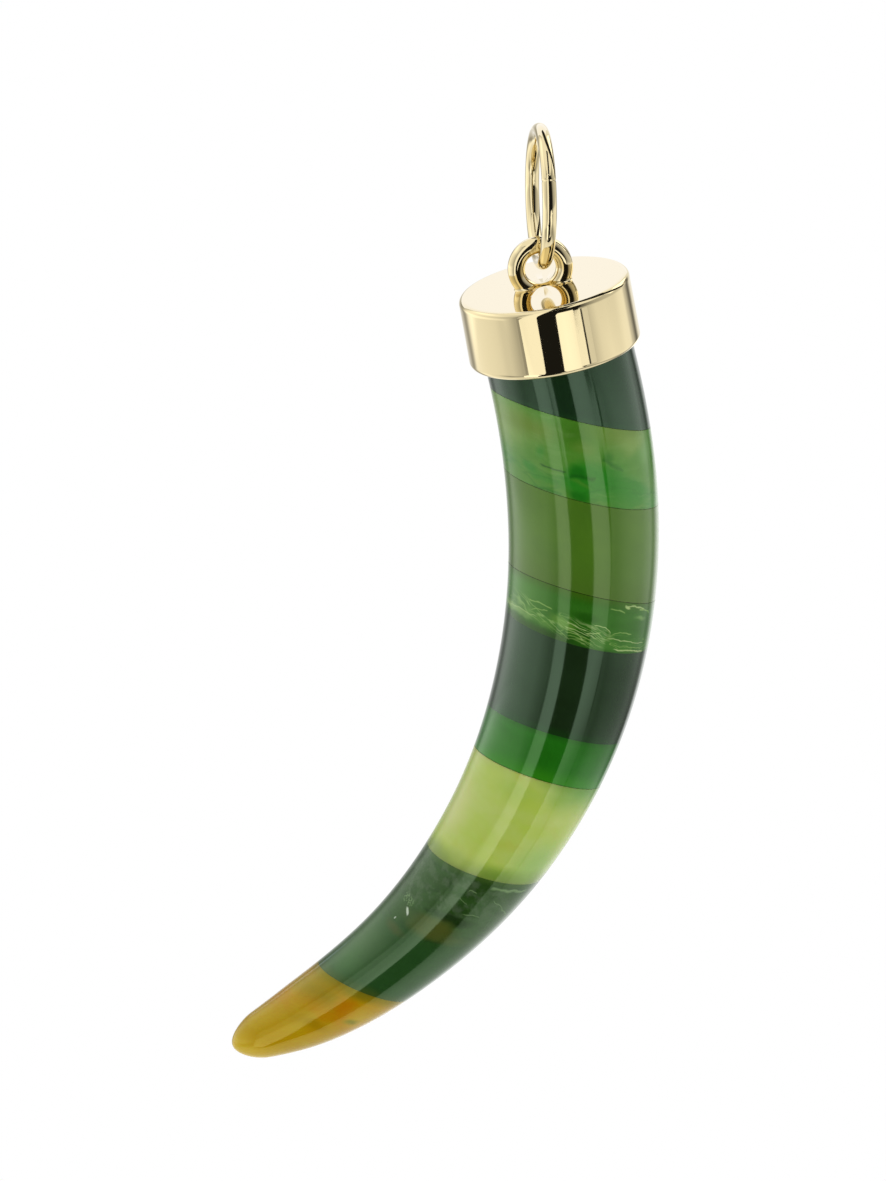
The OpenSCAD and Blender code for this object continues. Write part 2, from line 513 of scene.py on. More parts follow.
top_r = CAP_D / 2
rim_r = top_r + CAP_FLARE / 2
bore_r = TUSK_TOP_R + CEMENT_GAP
bore_depth = CAP_H - CAP_TOP_T
side_slope = math.degrees(math.atan2(CAP_FLARE / 2, CAP_H - 2 * CAP_EDGE_R))
top_edge = arc(top_r - CAP_EDGE_R, -CAP_EDGE_R, 90, side_slope)
low_edge = arc(rim_r - CAP_EDGE_R, CAP_EDGE_R - CAP_H, side_slope, -90)
side_holds = [[a.lerp(b, share) for a, b in zip(top_edge[-1], low_edge[0])] for share in HOLD_SHARES]
cup_rings = [in_cap(0, 0, 0), cap_ring(0.5 * top_r, 0), cap_ring(top_r - TOP_HOLD * CAP_EDGE_R, 0)]
cup_rings += top_edge + side_holds + low_edge
cup_rings += [bore_ring(bore_r), bore_ring(bore_r, bore_depth)]
cup_rings += [bore_ring(0, bore_depth)[0]]
cap_gold = skin_of_rings("cap_gold", cup_rings)

# %% [markdown]
# The eye is a ring of thicker wire, let into the cap's top and soldered. Solder creeps up the wire in a
# small fillet. Here the ring's points near the top are moved outward along a quarter circle, so that it
# meets the flat top without a corner. A boolean union then makes cup and eye one solid, as the solder did.

# %% Eye with its solder fillet
SOLDER_R = 0.3 * MM
SOLDER_SUNK = 0.03 * MM
EYE_STEPS = 320
EYE_WIRE_STEPS = 96
CAP_CREASE = math.radians(15)
LEAST_LEAN = 0.5


def solder_spread(height):
    """How far the solder stands out from the wire at a height over the fillet's lowest place."""
    if height >= SOLDER_R:
        return 0.0
    left = SOLDER_R - max(height, 0.0)
    return SOLDER_R - math.sqrt(SOLDER_R ** 2 - left ** 2)


def eye_point(ring_angle, wire_angle):
    outward = math.cos(wire_angle)
    distance = eye_r + EYE_WIRE_D / 2 * outward
    x = distance * math.cos(ring_angle)
    y = EYE_WIRE_D / 2 * math.sin(wire_angle)
    z = EYE_RISE + distance * math.sin(ring_angle)
    lean = Vector((outward * math.cos(ring_angle), math.sin(wire_angle), 0))
    spread = solder_spread(z + SOLDER_SUNK) * lean / max(lean.length, LEAST_LEAN)
    return in_cap(x + spread.x, y + spread.y, z)


def make_eye():
    points = [eye_point(a, b) for a in turns(EYE_STEPS) for b in turns(EYE_WIRE_STEPS)]
    mesh = new_mesh("eye", points, band_faces(EYE_STEPS, EYE_WIRE_STEPS, closed=True))
    turn_outward(mesh)
    return placed("eye", mesh)


def joined(base, tool):
    """One solid of two, as a plain mesh on the first."""
    union = base.modifiers.new("union", "BOOLEAN")
    union.operation = "UNION"
    union.solver = "MANIFOLD"
    union.object = tool
    mesh = evaluated_mesh(base, base.name)
    base.modifiers.remove(union)
    cup_mesh = base.data
    base.data = mesh
    bpy.data.meshes.remove(cup_mesh)
    bpy.data.objects.remove(tool)
    mesh.name = base.name
    turn_outward(mesh)


joined(cap_gold, make_eye())
cap_gold.data.shade_smooth()
cap_gold.data.set_sharp_from_angle(angle=CAP_CREASE)
cap_gold.data.materials.clear()
cap_gold.data.materials.append(gold)
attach(cap_gold, "pendant")
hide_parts("cap")

# %% [markdown]
# ## The tusk's shape
#
# The tusk follows a rule: a centre line that bends more and more toward the tip, and a radius for each
# place on it. The slices are glued with tilted flat faces and turned as one, so each slice is the same skin
# between two planes. One Geometry Nodes tree makes all nine. What it needs to know about the tusk comes as
# a centre line, a row of points with a radius each. The rule below is the same as in the CAD source.

# %% Centre line of the tusk
TUSK_L = 73.9 * MM
TURN = math.radians(86)
TURN_EASE = 1.24
NOSE_L = 2.6 * MM
PATH_STEP = 0.25 * MM
SKIN_INSET = 0.008 * MM
SECTIONS = [(0, 6.06), (20, 6.22), (40, 5.93), (60, 5.04), (75, 4.07), (90, 3.03), (100, 1.53)]
tenon_l = bore_depth - CEMENT_GAP


def lean_at(station):
    return TUSK_LEAN - TURN * (max(station, 0) / TUSK_L) ** TURN_EASE


def section_slope(i):
    before = SECTIONS[max(i - 1, 0)]
    after = SECTIONS[min(i + 1, len(SECTIONS) - 1)]
    return (after[1] - before[1]) / (after[0] - before[0])


def radius_at(station):
    """A smooth curve through the sections, before the nose is rounded."""
    percent = min(max(100 * station / TUSK_L, 0), 100)
    i = max(k for k in range(len(SECTIONS) - 1) if SECTIONS[k][0] <= percent)
    (start, r_start), (end, r_end) = SECTIONS[i], SECTIONS[i + 1]
    width = end - start
    u = (percent - start) / width
    radius = (1 + 2 * u) * (1 - u) ** 2 * r_start + u * u * (3 - 2 * u) * r_end
    radius += u * (1 - u) ** 2 * width * section_slope(i) - u * u * (1 - u) * width * section_slope(i + 1)
    return radius * MM


def make_centre_line():
    steps = math.ceil(TUSK_L / PATH_STEP)
    points = [rim_point - tenon_l * down_at(TUSK_LEAN), rim_point.copy()]
    radii = [radius_at(0), radius_at(0)]
    for i in range(steps):
        length = min(PATH_STEP, TUSK_L - i * PATH_STEP)
        points.append(points[-1] + length * down_at(lean_at((i + 0.5) * PATH_STEP)))
        radii.append(radius_at(i * PATH_STEP + length))
    mesh = new_mesh("centre_line", points, [], [(i, i + 1) for i in range(len(points) - 1)])
    radius = mesh.attributes.new("tusk_radius", "FLOAT", "POINT")
    radius.data.foreach_set("value", [r - SKIN_INSET for r in radii])
    print("Tip of the centre line in mm:", [round(1000 * x, 2) for x in points[-1]])
    return mesh, points


centre_line, path_points = make_centre_line()


def centre_at(station):
    """The point of the centre line at a distance below the cap's rim."""
    k = min(int(station / PATH_STEP), len(path_points) - 3)
    part = station / PATH_STEP - k
    return path_points[k + 1].lerp(path_points[k + 2], part)

# %% [markdown]
# ## The tree that makes a slice
#
# A slice's skin is a flat grid, bent into place. One side of the grid is the angle round the tusk, the
# other the share of the way from the slice's first plane to its last. The tusk bends and tapers, so where
# its skin meets a tilted plane has no plain formula. The tree guesses and corrects: it measures how far a
# skin point lies from the plane and steps along the tusk by that much. Each step is one use of a small
# inner group, and five are enough.

# %% Skin point and step groups
SKIN_INPUTS = {"Centre line": GEOMETRY, "Distance": 0.0, "Angle": 0.0, "Nose length": 0.002}


def make_skin_point_group():
    """The skin's position for a distance along the centre line and an angle round it."""
    bench, source = new_group(
        "skin_point", "GeometryNodeTree", SKIN_INPUTS, {"Position": VECTOR, "Along": VECTOR})
    radius = bench.out(
        "GeometryNodeInputNamedAttribute", {"Name": "tusk_radius"}, "Attribute", {"data_type": "FLOAT"})
    sample = bench.add("GeometryNodeSampleCurve", {"mode": "LENGTH", "use_all_curves": True}, {
        "Curves": source["Centre line"], "Value": radius, "Length": source["Distance"]})
    on_line, along, line_radius = [
        Value(bench, sample.outputs[name]) for name in ("Position", "Tangent", "Value")]
    total = bench.out("GeometryNodeCurveLength", {"Curve": source["Centre line"]})
    left = (total - source["Distance"]) / source["Nose length"]
    used = 1.0 - bench.math("MINIMUM", bench.math("MAXIMUM", left, 0.0), 1.0)
    reach = line_radius * bench.math("SQRT", 1.0 - used * used)
    across = bench.vector("NORMALIZE", bench.vector("CROSS_PRODUCT", along, (0, 1, 0)))
    sideways = bench.scaled(across, reach * bench.math("COSINE", source["Angle"]))
    deep = bench.scaled((0, 1, 0), reach * bench.math("SINE", source["Angle"]))
    return bench.give(Position=bench.vector("ADD", on_line, bench.vector("ADD", sideways, deep)), Along=along)


skin_point_group = make_skin_point_group()


def make_step_group():
    """Moves a distance along the tusk closer to where the skin lies at a height over a plane."""
    bench, source = new_group(
        "step_to_plane", "GeometryNodeTree",
        {**SKIN_INPUTS, "Point": VECTOR, "Normal": VECTOR, "Height": 0.0}, {"Distance": FLOAT})
    skin = bench.use(skin_point_group, {label: source[label] for label in SKIN_INPUTS})
    offset = bench.vector("SUBTRACT", skin["Position"], source["Point"])
    height = bench.vector("DOT_PRODUCT", offset, source["Normal"])
    slope = bench.vector("DOT_PRODUCT", skin["Along"], source["Normal"])
    return bench.give(Distance=source["Distance"] - (height - source["Height"]) / slope)


step_group = make_step_group()

# %% Slice tree
PLANE_STEPS = 5


def make_slice_tree():
    inputs = {"Geometry": GEOMETRY, "Sides": 192, "Rings": 24, "Pointed": False, "Nose length": 0.002,
              "Merge distance": 2e-6, "Material": MATERIAL}
    for end in ("Start", "End"):
        inputs |= {
            end + " distance": 0.0, end + " point": VECTOR, end + " normal": VECTOR, end + " height": 0.0}
    bench, source = new_group("turned_slice", "GeometryNodeTree", inputs, {"Geometry": GEOMETRY})
    line = bench.out("GeometryNodeMeshToCurve", {"Mesh": source["Geometry"]})
    shape = {"Centre line": line, "Nose length": source["Nose length"]}

    def distance_at(end, angle):
        distance = source[end + " distance"]
        for _ in range(PLANE_STEPS):
            distance = bench.use(step_group, {
                **shape, "Distance": distance, "Angle": angle, "Point": source[end + " point"],
                "Normal": source[end + " normal"], "Height": source[end + " height"]})["Distance"]
        return distance

    def bent(mesh, distance, angle, smooth):
        skin = bench.use(skin_point_group, {**shape, "Distance": distance, "Angle": angle})
        moved = bench.out("GeometryNodeSetPosition", {"Geometry": mesh, "Position": skin["Position"]})
        return bench.out("GeometryNodeSetShadeSmooth", {"Geometry": moved, "Shade Smooth": smooth})

    def unless_pointed(kind, usual, pointed):
        return bench.out("GeometryNodeSwitch", {"Switch": source["Pointed"], "False": usual, **pointed}, 0,
                         {"input_type": kind})

    # The skin: a grid from -0.5 to 0.5 both ways
    grid = bench.out("GeometryNodeMeshGrid", {
        "Size X": 1.0, "Size Y": 1.0, "Vertices X": source["Sides"] + 1.0, "Vertices Y": source["Rings"]})
    x, y, _ = bench.parts(bench.out("GeometryNodeInputPosition"))
    angle = (x + 0.5) * (2 * math.pi)
    even = y + 0.5
    share = unless_pointed("FLOAT", even, {"True": bench.math("SINE", even * (math.pi / 2))})
    first = distance_at("Start", angle)
    pieces = [bent(grid, first + share * (distance_at("End", angle) - first), angle, True)]

    # The flat ends: circles of as many points, filled
    turn_by = bench.out("GeometryNodeInputIndex") * (2 * math.pi) / source["Sides"]
    for end in ("Start", "End"):
        circle = bench.out("GeometryNodeMeshCircle", {"Vertices": source["Sides"]}, 0, {"fill_type": "NGON"})
        flat_end = bent(circle, distance_at(end, turn_by), turn_by, False)
        pieces.append(unless_pointed("GEOMETRY", flat_end, {}) if end == "End" else flat_end)
    both = bench.add("GeometryNodeJoinGeometry")
    for piece in reversed(pieces):
        bench.feed(both.inputs[0], piece)
    merged = bench.out("GeometryNodeMergeByDistance", {
        "Geometry": Value(bench, both.outputs[0]), "Distance": source["Merge distance"]})
    return give_mesh(bench, source, merged)


slice_tree = make_slice_tree()

# %% [markdown]
# ## Where the slices meet
#
# Ten flat faces bound the nine slices: the cap's rim, the eight glued faces and the tip. Each is a point
# and a normal. The patterns are laid out from them as well, so they come before the materials.

# %% Faces between the slices
GLUE_PLANES = [
    (4.9, 15.5, 5), (11.7, 14.5, 3), (20.1, 15.8, 7), (24.2, 15.8, 3),
    (32.8, 17, 8), (36.9, 18.5, 7), (46.4, 17, 1), (61.4, 23.2, 4.5)]
tusk_down = down_at(TUSK_LEAN)

faces = [(0.0, rim_point.copy(), -tusk_down)]
for station, drop, side_drop in GLUE_PLANES:
    normal = Vector((math.tan(math.radians(drop)), math.tan(math.radians(side_drop)), 1)).normalized()
    faces.append((station * MM, centre_at(station * MM), normal))
faces.append((TUSK_L, path_points[-1], -down_at(lean_at(TUSK_L))))
print(len(faces), "faces bound", len(faces) - 1, "slices")


def skin_at(station, turn):
    """A place on the skin: mm below the rim, and degrees round from the front toward the right."""
    angle = math.radians(turn - 90)
    outward = math.cos(angle) * across_at(lean_at(station * MM)) + math.sin(angle) * FRONT_TO_BACK
    return centre_at(station * MM) + radius_at(station * MM) * outward

# %% [markdown]
# ## Shared effect: place in a layer
#
# The colours were poured in layers, and each slice is cut from such a block, so clouds and threads lie
# along its flat faces. This group gives a place by the layer, in millimetres: x and y along a face, z the
# height over it. Beside that it gives the way round the tusk, from the middle of the front, for marks that
# lie on the skin.

# %% Layer place group
def make_layer_group():
    bench, source = new_group(
        "layer_place", "ShaderNodeTree", {"Centre": VECTOR, "Up": (0, 0, 1), "Radius": 6.0},
        {"Place": VECTOR, "Height": FLOAT, "Round": FLOAT})
    place = bench.out("ShaderNodeTexCoord", None, "Object")
    offset = bench.scaled(bench.vector("SUBTRACT", place, source["Centre"]), 1 / MM)
    along_x = bench.vector("NORMALIZE", bench.vector("CROSS_PRODUCT", (0, 1, 0), source["Up"]))
    along_y = bench.vector("CROSS_PRODUCT", source["Up"], along_x)
    x, y, height = [bench.vector("DOT_PRODUCT", offset, axis) for axis in (along_x, along_y, source["Up"])]
    turn = bench.math("ARCTAN2", x, y * -1.0)
    return bench.give(Place=bench.combine(x, y, height), Height=height, Round=turn * source["Radius"])


layer_group = make_layer_group()

# %% [markdown]
# ## Shared effect: swirl
#
# Liquid resin is stirred before it sets, so nothing in it is straight. This group pushes every place a
# little way, by a soft noise, and the patterns that read the pushed place come out swirled.

# %% Swirl group
def make_swirl_group():
    bench, source = new_group(
        "swirl", "ShaderNodeTree", {"Place": VECTOR, "Round": 0.0, "Height": 0.0, "Size": 2.0, "Amount": 0.5},
        {"Place": VECTOR, "Round": FLOAT, "Height": FLOAT})
    noise = bench.noise(source["Place"], 1.0 / source["Size"], 2.0, "Color")
    push = bench.scaled(bench.vector("SUBTRACT", noise, (0.5, 0.5, 0.5)), source["Amount"])
    right, _, up = bench.parts(push)
    return bench.give(
        Place=bench.vector("ADD", source["Place"], push),
        Round=source["Round"] + right, Height=source["Height"] + up)


swirl_group = make_swirl_group()

# %% [markdown]
# ## Shared effect: clouds and fibres
#
# Clouds are noise, drawn out along the layer. Fibres come from the same noise: where it passes its middle
# value it draws fine closed lines, like the contour lines of a map, and those look like drawn-out threads
# of pale resin.

# %% Clouds and fibres groups
def drawn_out_noise(bench, source, detail):
    long_way = 1.0 / (source["Size"] * source["Stretch"])
    scale = bench.combine(long_way, long_way, 1.0 / source["Size"])
    return bench.noise(bench.vector("MULTIPLY", source["Place"], scale), 1.0, detail)


def make_clouds_group():
    bench, source = new_group(
        "clouds", "ShaderNodeTree", {"Place": VECTOR, "Size": 2.0, "Stretch": 2.0, "Low": 0.35, "High": 0.65},
        {"Mask": FLOAT})
    return bench.give(Mask=bench.ramp(drawn_out_noise(bench, source, 3.0), source["Low"], source["High"]))


def make_fibres_group():
    bench, source = new_group(
        "fibres", "ShaderNodeTree", {"Place": VECTOR, "Size": 0.6, "Stretch": 4.0, "Thickness": 0.02},
        {"Mask": FLOAT})
    ridge = bench.math("ABSOLUTE", drawn_out_noise(bench, source, 1.5) - 0.5)
    return bench.give(Mask=bench.fall(ridge, 0.0, source["Thickness"]))


clouds_group = make_clouds_group()
fibres_group = make_fibres_group()

# %% [markdown]
# ## Shared effect: spots and threads
#
# Some marks sit at a certain place on this pendant: a patch, a bubble, a single thread. A spot is a soft
# oval on the skin. A thread is a thin line from one place to another with a bow in it. Both are measured in
# millimetres round the tusk and up the layer.

# %% Spot and thread groups
def make_spot_group():
    bench, source = new_group(
        "spot", "ShaderNodeTree",
        {"Round": 0.0, "Height": 0.0, "At round": 0.0, "At height": 0.0, "Half width": 1.0,
         "Half height": 0.5, "Slope": 0.0, "Softness": 0.6}, {"Mask": FLOAT})
    sideways = source["Round"] - source["At round"]
    across = sideways / source["Half width"]
    up = (source["Height"] - source["At height"] - source["Slope"] * sideways) / source["Half height"]
    reach = bench.math("SQRT", across * across + up * up)
    return bench.give(Mask=bench.fall(reach, 1.0 - source["Softness"], 1.0))


def make_thread_group():
    bench, source = new_group(
        "thread", "ShaderNodeTree",
        {"Round": 0.0, "Height": 0.0, "From round": 0.0, "From height": 0.0, "To round": 1.0,
         "To height": 0.0, "Bow": 0.0, "Thickness": 0.05}, {"Mask": FLOAT})
    share = (source["Round"] - source["From round"]) / (source["To round"] - source["From round"])
    line = source["From height"] + (source["To height"] - source["From height"]) * share
    bow = share * (1.0 - share) * (source["Bow"] * 4.0)
    off = bench.math("ABSOLUTE", source["Height"] - (line + bow))
    ends = bench.fall(bench.math("ABSOLUTE", share - 0.5), 0.38, 0.5)
    return bench.give(Mask=bench.fall(off, 0.0, source["Thickness"]) * ends)


spot_group = make_spot_group()
thread_group = make_thread_group()

# %% [markdown]
# ## Painting in a slice
#
# Each slice's colour is built up like a glaze: a ground colour first, then one mark after another mixed
# over it. This class keeps the place sockets of one slice and the colour so far, so that a recipe reads as
# a list of marks. Colours are picker numbers. A place on the skin is (mm below the cap's rim, degrees round
# from the front).

# %% Slice painter
class SlicePaint:
    """Builds up one slice's colour. Heights count from its lower face, the tip's from its upper one."""

    def __init__(self, bench, number, ground, swirl_size=2.0, swirl=0.4):
        self.bench = bench
        top, bottom = faces[number], faces[number + 1]
        self.base = bottom if number < len(GLUE_PLANES) else top
        self.radius = radius_at((top[0] + bottom[0]) / 2) / MM
        layer = self.layer(self.base)
        self.height = layer["Height"]
        self.round = layer["Round"]
        self.depth = self.layer(top)["Height"] * -1.0
        self.swirled = bench.use(swirl_group, {**layer, "Size": swirl_size, "Amount": swirl})
        self.place = self.swirled.pop("Place")
        self.colour = tone(*ground)

    def layer(self, face):
        _, centre, up = face
        return self.bench.use(layer_group, {"Centre": tuple(centre), "Up": tuple(up), "Radius": self.radius})

    def seat(self, station, turn):
        """Where a place on the skin lies: mm round the tusk and mm over the base face."""
        _, point, up = self.base
        offset = (skin_at(station, turn) - point) / MM
        along_x = FRONT_TO_BACK.cross(up).normalized()
        along_y = up.cross(along_x)
        turned = math.atan2(offset.dot(along_x), -offset.dot(along_y))
        return turned * self.radius, offset.dot(up)

    def lay(self, mask, colour, strength=1.0):
        """Mixes a colour over what is there, where the mask says."""
        # The Mix node's colour inputs have the numbers 6 and 7, and its colour output has the number 2
        inputs = {"Factor": mask * strength, 6: self.colour, 7: tone(*colour)}
        self.colour = self.bench.out("ShaderNodeMix", inputs, 2, {"data_type": "RGBA"})

    def spot_mask(self, station, turn, half_width, half_height, slope=0.0, softness=0.6):
        at_round, at_height = self.seat(station, turn)
        return self.bench.use(spot_group, {
            **self.swirled, "At round": at_round, "At height": at_height, "Half width": half_width,
            "Half height": half_height, "Slope": slope, "Softness": softness})["Mask"]

    def spots(self, rows):
        """Each row is (station, turn, half width, half height, colour, strength, slope, softness)."""
        for *where, colour, strength, slope, softness in rows:
            self.lay(self.spot_mask(*where, slope, softness), colour, strength)

    def threads(self, rows):
        """Each row is (start, end, colour, strength, bow, thickness)."""
        for start, end, colour, strength, bow, thickness in rows:
            from_round, from_height = self.seat(*start)
            to_round, to_height = self.seat(*end)
            self.lay(self.bench.use(thread_group, {
                **self.swirled, "From round": from_round, "From height": from_height, "To round": to_round,
                "To height": to_height, "Bow": bow, "Thickness": thickness})["Mask"], colour, strength)

    def cloud_mask(self, size, stretch, low=0.35, high=0.65):
        return self.bench.use(clouds_group, {
            "Place": self.place, "Size": size, "Stretch": stretch, "Low": low, "High": high})["Mask"]

    def clouds(self, size, stretch, colour, strength=1.0, low=0.35, high=0.65):
        self.lay(self.cloud_mask(size, stretch, low, high), colour, strength)

    def sheared(self, slope):
        """The place for patterns that slant down to the right across the layer."""
        return self.bench.vector("ADD", self.place, self.bench.combine(0.0, 0.0, self.round * slope))

    def fibre_mask(self, size, stretch, thickness, place=None):
        return self.bench.use(fibres_group, {
            "Place": place or self.place, "Size": size, "Stretch": stretch, "Thickness": thickness})["Mask"]

    def low_mask(self, low, high):
        """The slice's lower part: fades between two heights, along a swirled border."""
        return self.bench.fall(self.swirled["Height"], low, high)

    def above_face(self, height, fade, colour, strength=1.0):
        """A seam of colour on the slice's lower face."""
        self.lay(self.bench.fall(self.height, height, height + fade), colour, strength)

    def below_face(self, depth, fade, colour, strength=1.0):
        """A seam of colour under the slice's upper face."""
        self.lay(self.bench.fall(self.depth, depth, depth + fade), colour, strength)

# %% [markdown]
# ## Resin
#
# Cast phenolic resin is dense and glossy, with a higher refractive index than most plastics. Light goes a
# little way in and comes back coloured, which the shader's subsurface part does. The gloss picks up a tint
# from the body under it, another for each slice. All these stay plain numbers on the shader, and only
# colour, roughness and normal vary.

# %% Resin material
RESIN_IOR = 1.68
GLOW_REACH = (1.0, 1.4, 0.6)
RESIN_WAVE = 0.0008
GLUE_BROWN = (52, 58, 22)
GLUE_SEAM = (0.02, 0.05)


def make_resin(name, number, recipe, gloss_tint, glow, glow_scale, glue_line):
    material, bench = new_material(name)
    paint = recipe(bench, number)
    if glue_line:
        paint.above_face(*GLUE_SEAM, GLUE_BROWN, glue_line)
    give_polished(bench, RESIN_WAVE, {"Gloss": 0.07, "Haze": 0.02, "Patch size": 4.0, "Scratches": 0.2}, {
        "Base Color": paint.colour, "IOR": RESIN_IOR, "Specular Tint": (*gloss_tint, 1),
        "Subsurface Weight": glow, "Subsurface Radius": GLOW_REACH, "Subsurface Scale": glow_scale * MM})
    return material

# %% [markdown]
# ## Plain slices
#
# Three dark slices and the olive one are nearly one colour. Even so each drifts a little across its block,
# and where a slice borders a pale one, some of that one's light comes through, which is painted in as a
# lighter band along that face. The mid green slice is painted as lit through from the lime slice below it:
# lighter toward its lower face and darker under its upper one.

# %% Recipes for the plain slices
def dark_green(bench, number):
    paint = SlicePaint(bench, number, (27, 53, 28))
    paint.clouds(3.0, 2.0, (31, 60, 32), 0.6)
    # Painted light: lighter along the lower face, where the paler marbled slice's light comes through
    paint.above_face(0.1, 0.5, (34, 72, 34), 0.5)
    return paint


def olive(bench, number):
    paint = SlicePaint(bench, number, (87, 133, 34))
    paint.clouds(3.5, 1.5, (80, 124, 34), 0.7)
    paint.above_face(0.0, 3.0, (80, 118, 34), 0.7)
    return paint


def black_green(bench, number):
    paint = SlicePaint(bench, number, (28, 48, 22))
    paint.clouds(2.5, 2.0, (32, 54, 27), 0.6)
    # Painted light: greener along the lower face, where the mid green slice's light comes through
    paint.above_face(0.2, 0.7, (26, 62, 20), 0.8)
    return paint


def mid_green(bench, number):
    paint = SlicePaint(bench, number, (34, 114, 18))
    paint.clouds(2.0, 2.5, (38, 124, 24), 0.6)
    # Painted light from the lime slice below: lighter toward the lower face, painted shade under the upper
    # face
    paint.above_face(0.0, 1.6, (58, 148, 22), 0.8)
    paint.below_face(0.0, 0.6, (32, 92, 22), 0.6)
    paint.spots([
        (35.0, -66, 4.6, 1.6, (58, 136, 40), 0.5, 0, 0.95),
    ])
    return paint

# %% [markdown]
# ## Marbled slice
#
# Two greens were poured here and barely stirred: khaki above, emerald below, with tongues of each in the
# other.

# %% Recipe for the marbled slice
KHAKI = (116, 150, 50)
PALE_KHAKI = (142, 176, 84)
LEAF = (86, 150, 44)
EMERALD = (44, 146, 34)
DEEP_GREEN = (30, 122, 24)


def marbled(bench, number):
    paint = SlicePaint(bench, number, LEAF, 2.0, 0.9)
    paint.clouds(2.2, 2.0, (98, 158, 58), 0.6)
    paint.spots([
        (3.8, -72, 4.6, 3.0, PALE_KHAKI, 0.9, 0, 0.9),
        (4.0, -44, 3.2, 1.5, KHAKI, 0.9, 0, 0.9),
        (5.2, -4, 2.0, 1.8, (72, 128, 30), 0.75, 0, 0.9),
        (6.6, 0, 1.6, 0.8, KHAKI, 0.4, 0, 0.9),
        (6.4, 36, 4.6, 2.2, KHAKI, 0.9, 0, 0.8),
        (7.6, 42, 2.6, 1.2, PALE_KHAKI, 0.6, 0, 0.9),
        (4.5, 160, 5.0, 1.6, KHAKI, 0.7, 0, 0.9),
    ])
    low_layer = paint.low_mask(0.8, 3.2)
    paint.lay(low_layer * paint.cloud_mask(1.6, 3.0, 0.4, 0.6), EMERALD, 0.7)
    paint.spots([
        (9.4, -2, 2.6, 2.0, EMERALD, 0.9, 0, 0.5),
        (9.3, 16, 2.4, 1.6, EMERALD, 0.8, 0.2, 0.7),
        (10.8, 32, 3.4, 1.3, EMERALD, 0.9, -0.1, 0.6),
        (7.8, -47, 1.0, 0.55, EMERALD, 0.85, 0, 0.7),
        (6.4, -34, 0.5, 0.9, EMERALD, 0.7, 0, 0.9),
        (7.9, 17, 0.8, 0.7, DEEP_GREEN, 0.6, -0.4, 0.95),
        (8.6, -8, 1.1, 0.75, DEEP_GREEN, 0.85, -0.15, 0.7),
        (10.6, -9, 1.3, 0.6, DEEP_GREEN, 0.85, -0.1, 0.7),
        (9.5, -7, 1.4, 0.3, LEAF, 0.6, -0.2, 0.9),
    ])
    milk = paint.cloud_mask(0.5, 6.0, 0.5, 0.66) * paint.cloud_mask(2.6, 1.5, 0.4, 0.6)
    paint.lay(milk, (140, 186, 100), 0.14)
    paint.lay(paint.fibre_mask(1.1, 5.0, 0.05) * low_layer, DEEP_GREEN, 0.35)
    paint.threads([
        ((7.5, -38), (8.3, -16), (30, 92, 24), 0.85, 0, 0.14),
        ((7.8, 12), (9.2, 30), (34, 112, 30), 0.55, 0, 0.26),
        ((8.7, -16), (9.3, 6), (26, 104, 22), 0.7, 0, 0.3),
        ((9.6, -48), (10.4, -20), DEEP_GREEN, 0.6, 0, 0.22),
    ])
    paint.spots([
        (8.8, 56, 1.6, 1.4, (116, 172, 84), 0.6, 0, 0.9),
    ])
    return paint

# %% [markdown]
# ## Wispy slice
#
# A clear dark green with pale threads drawn through its lower half. The fine ones come from the fibres
# group. They are held to a tilted band and broken up by clouds, for drawn-out threads come in bunches. The
# longest ones are laid one by one. On the left the slice's lower border is blurred into a darker green.

# %% Recipe for the wispy slice
CLEAR_GREEN = (48, 112, 20)
DARK_GAP = (34, 92, 14)
PALE_THREAD = (190, 218, 140)
SOFT_THREAD = (150, 192, 98)


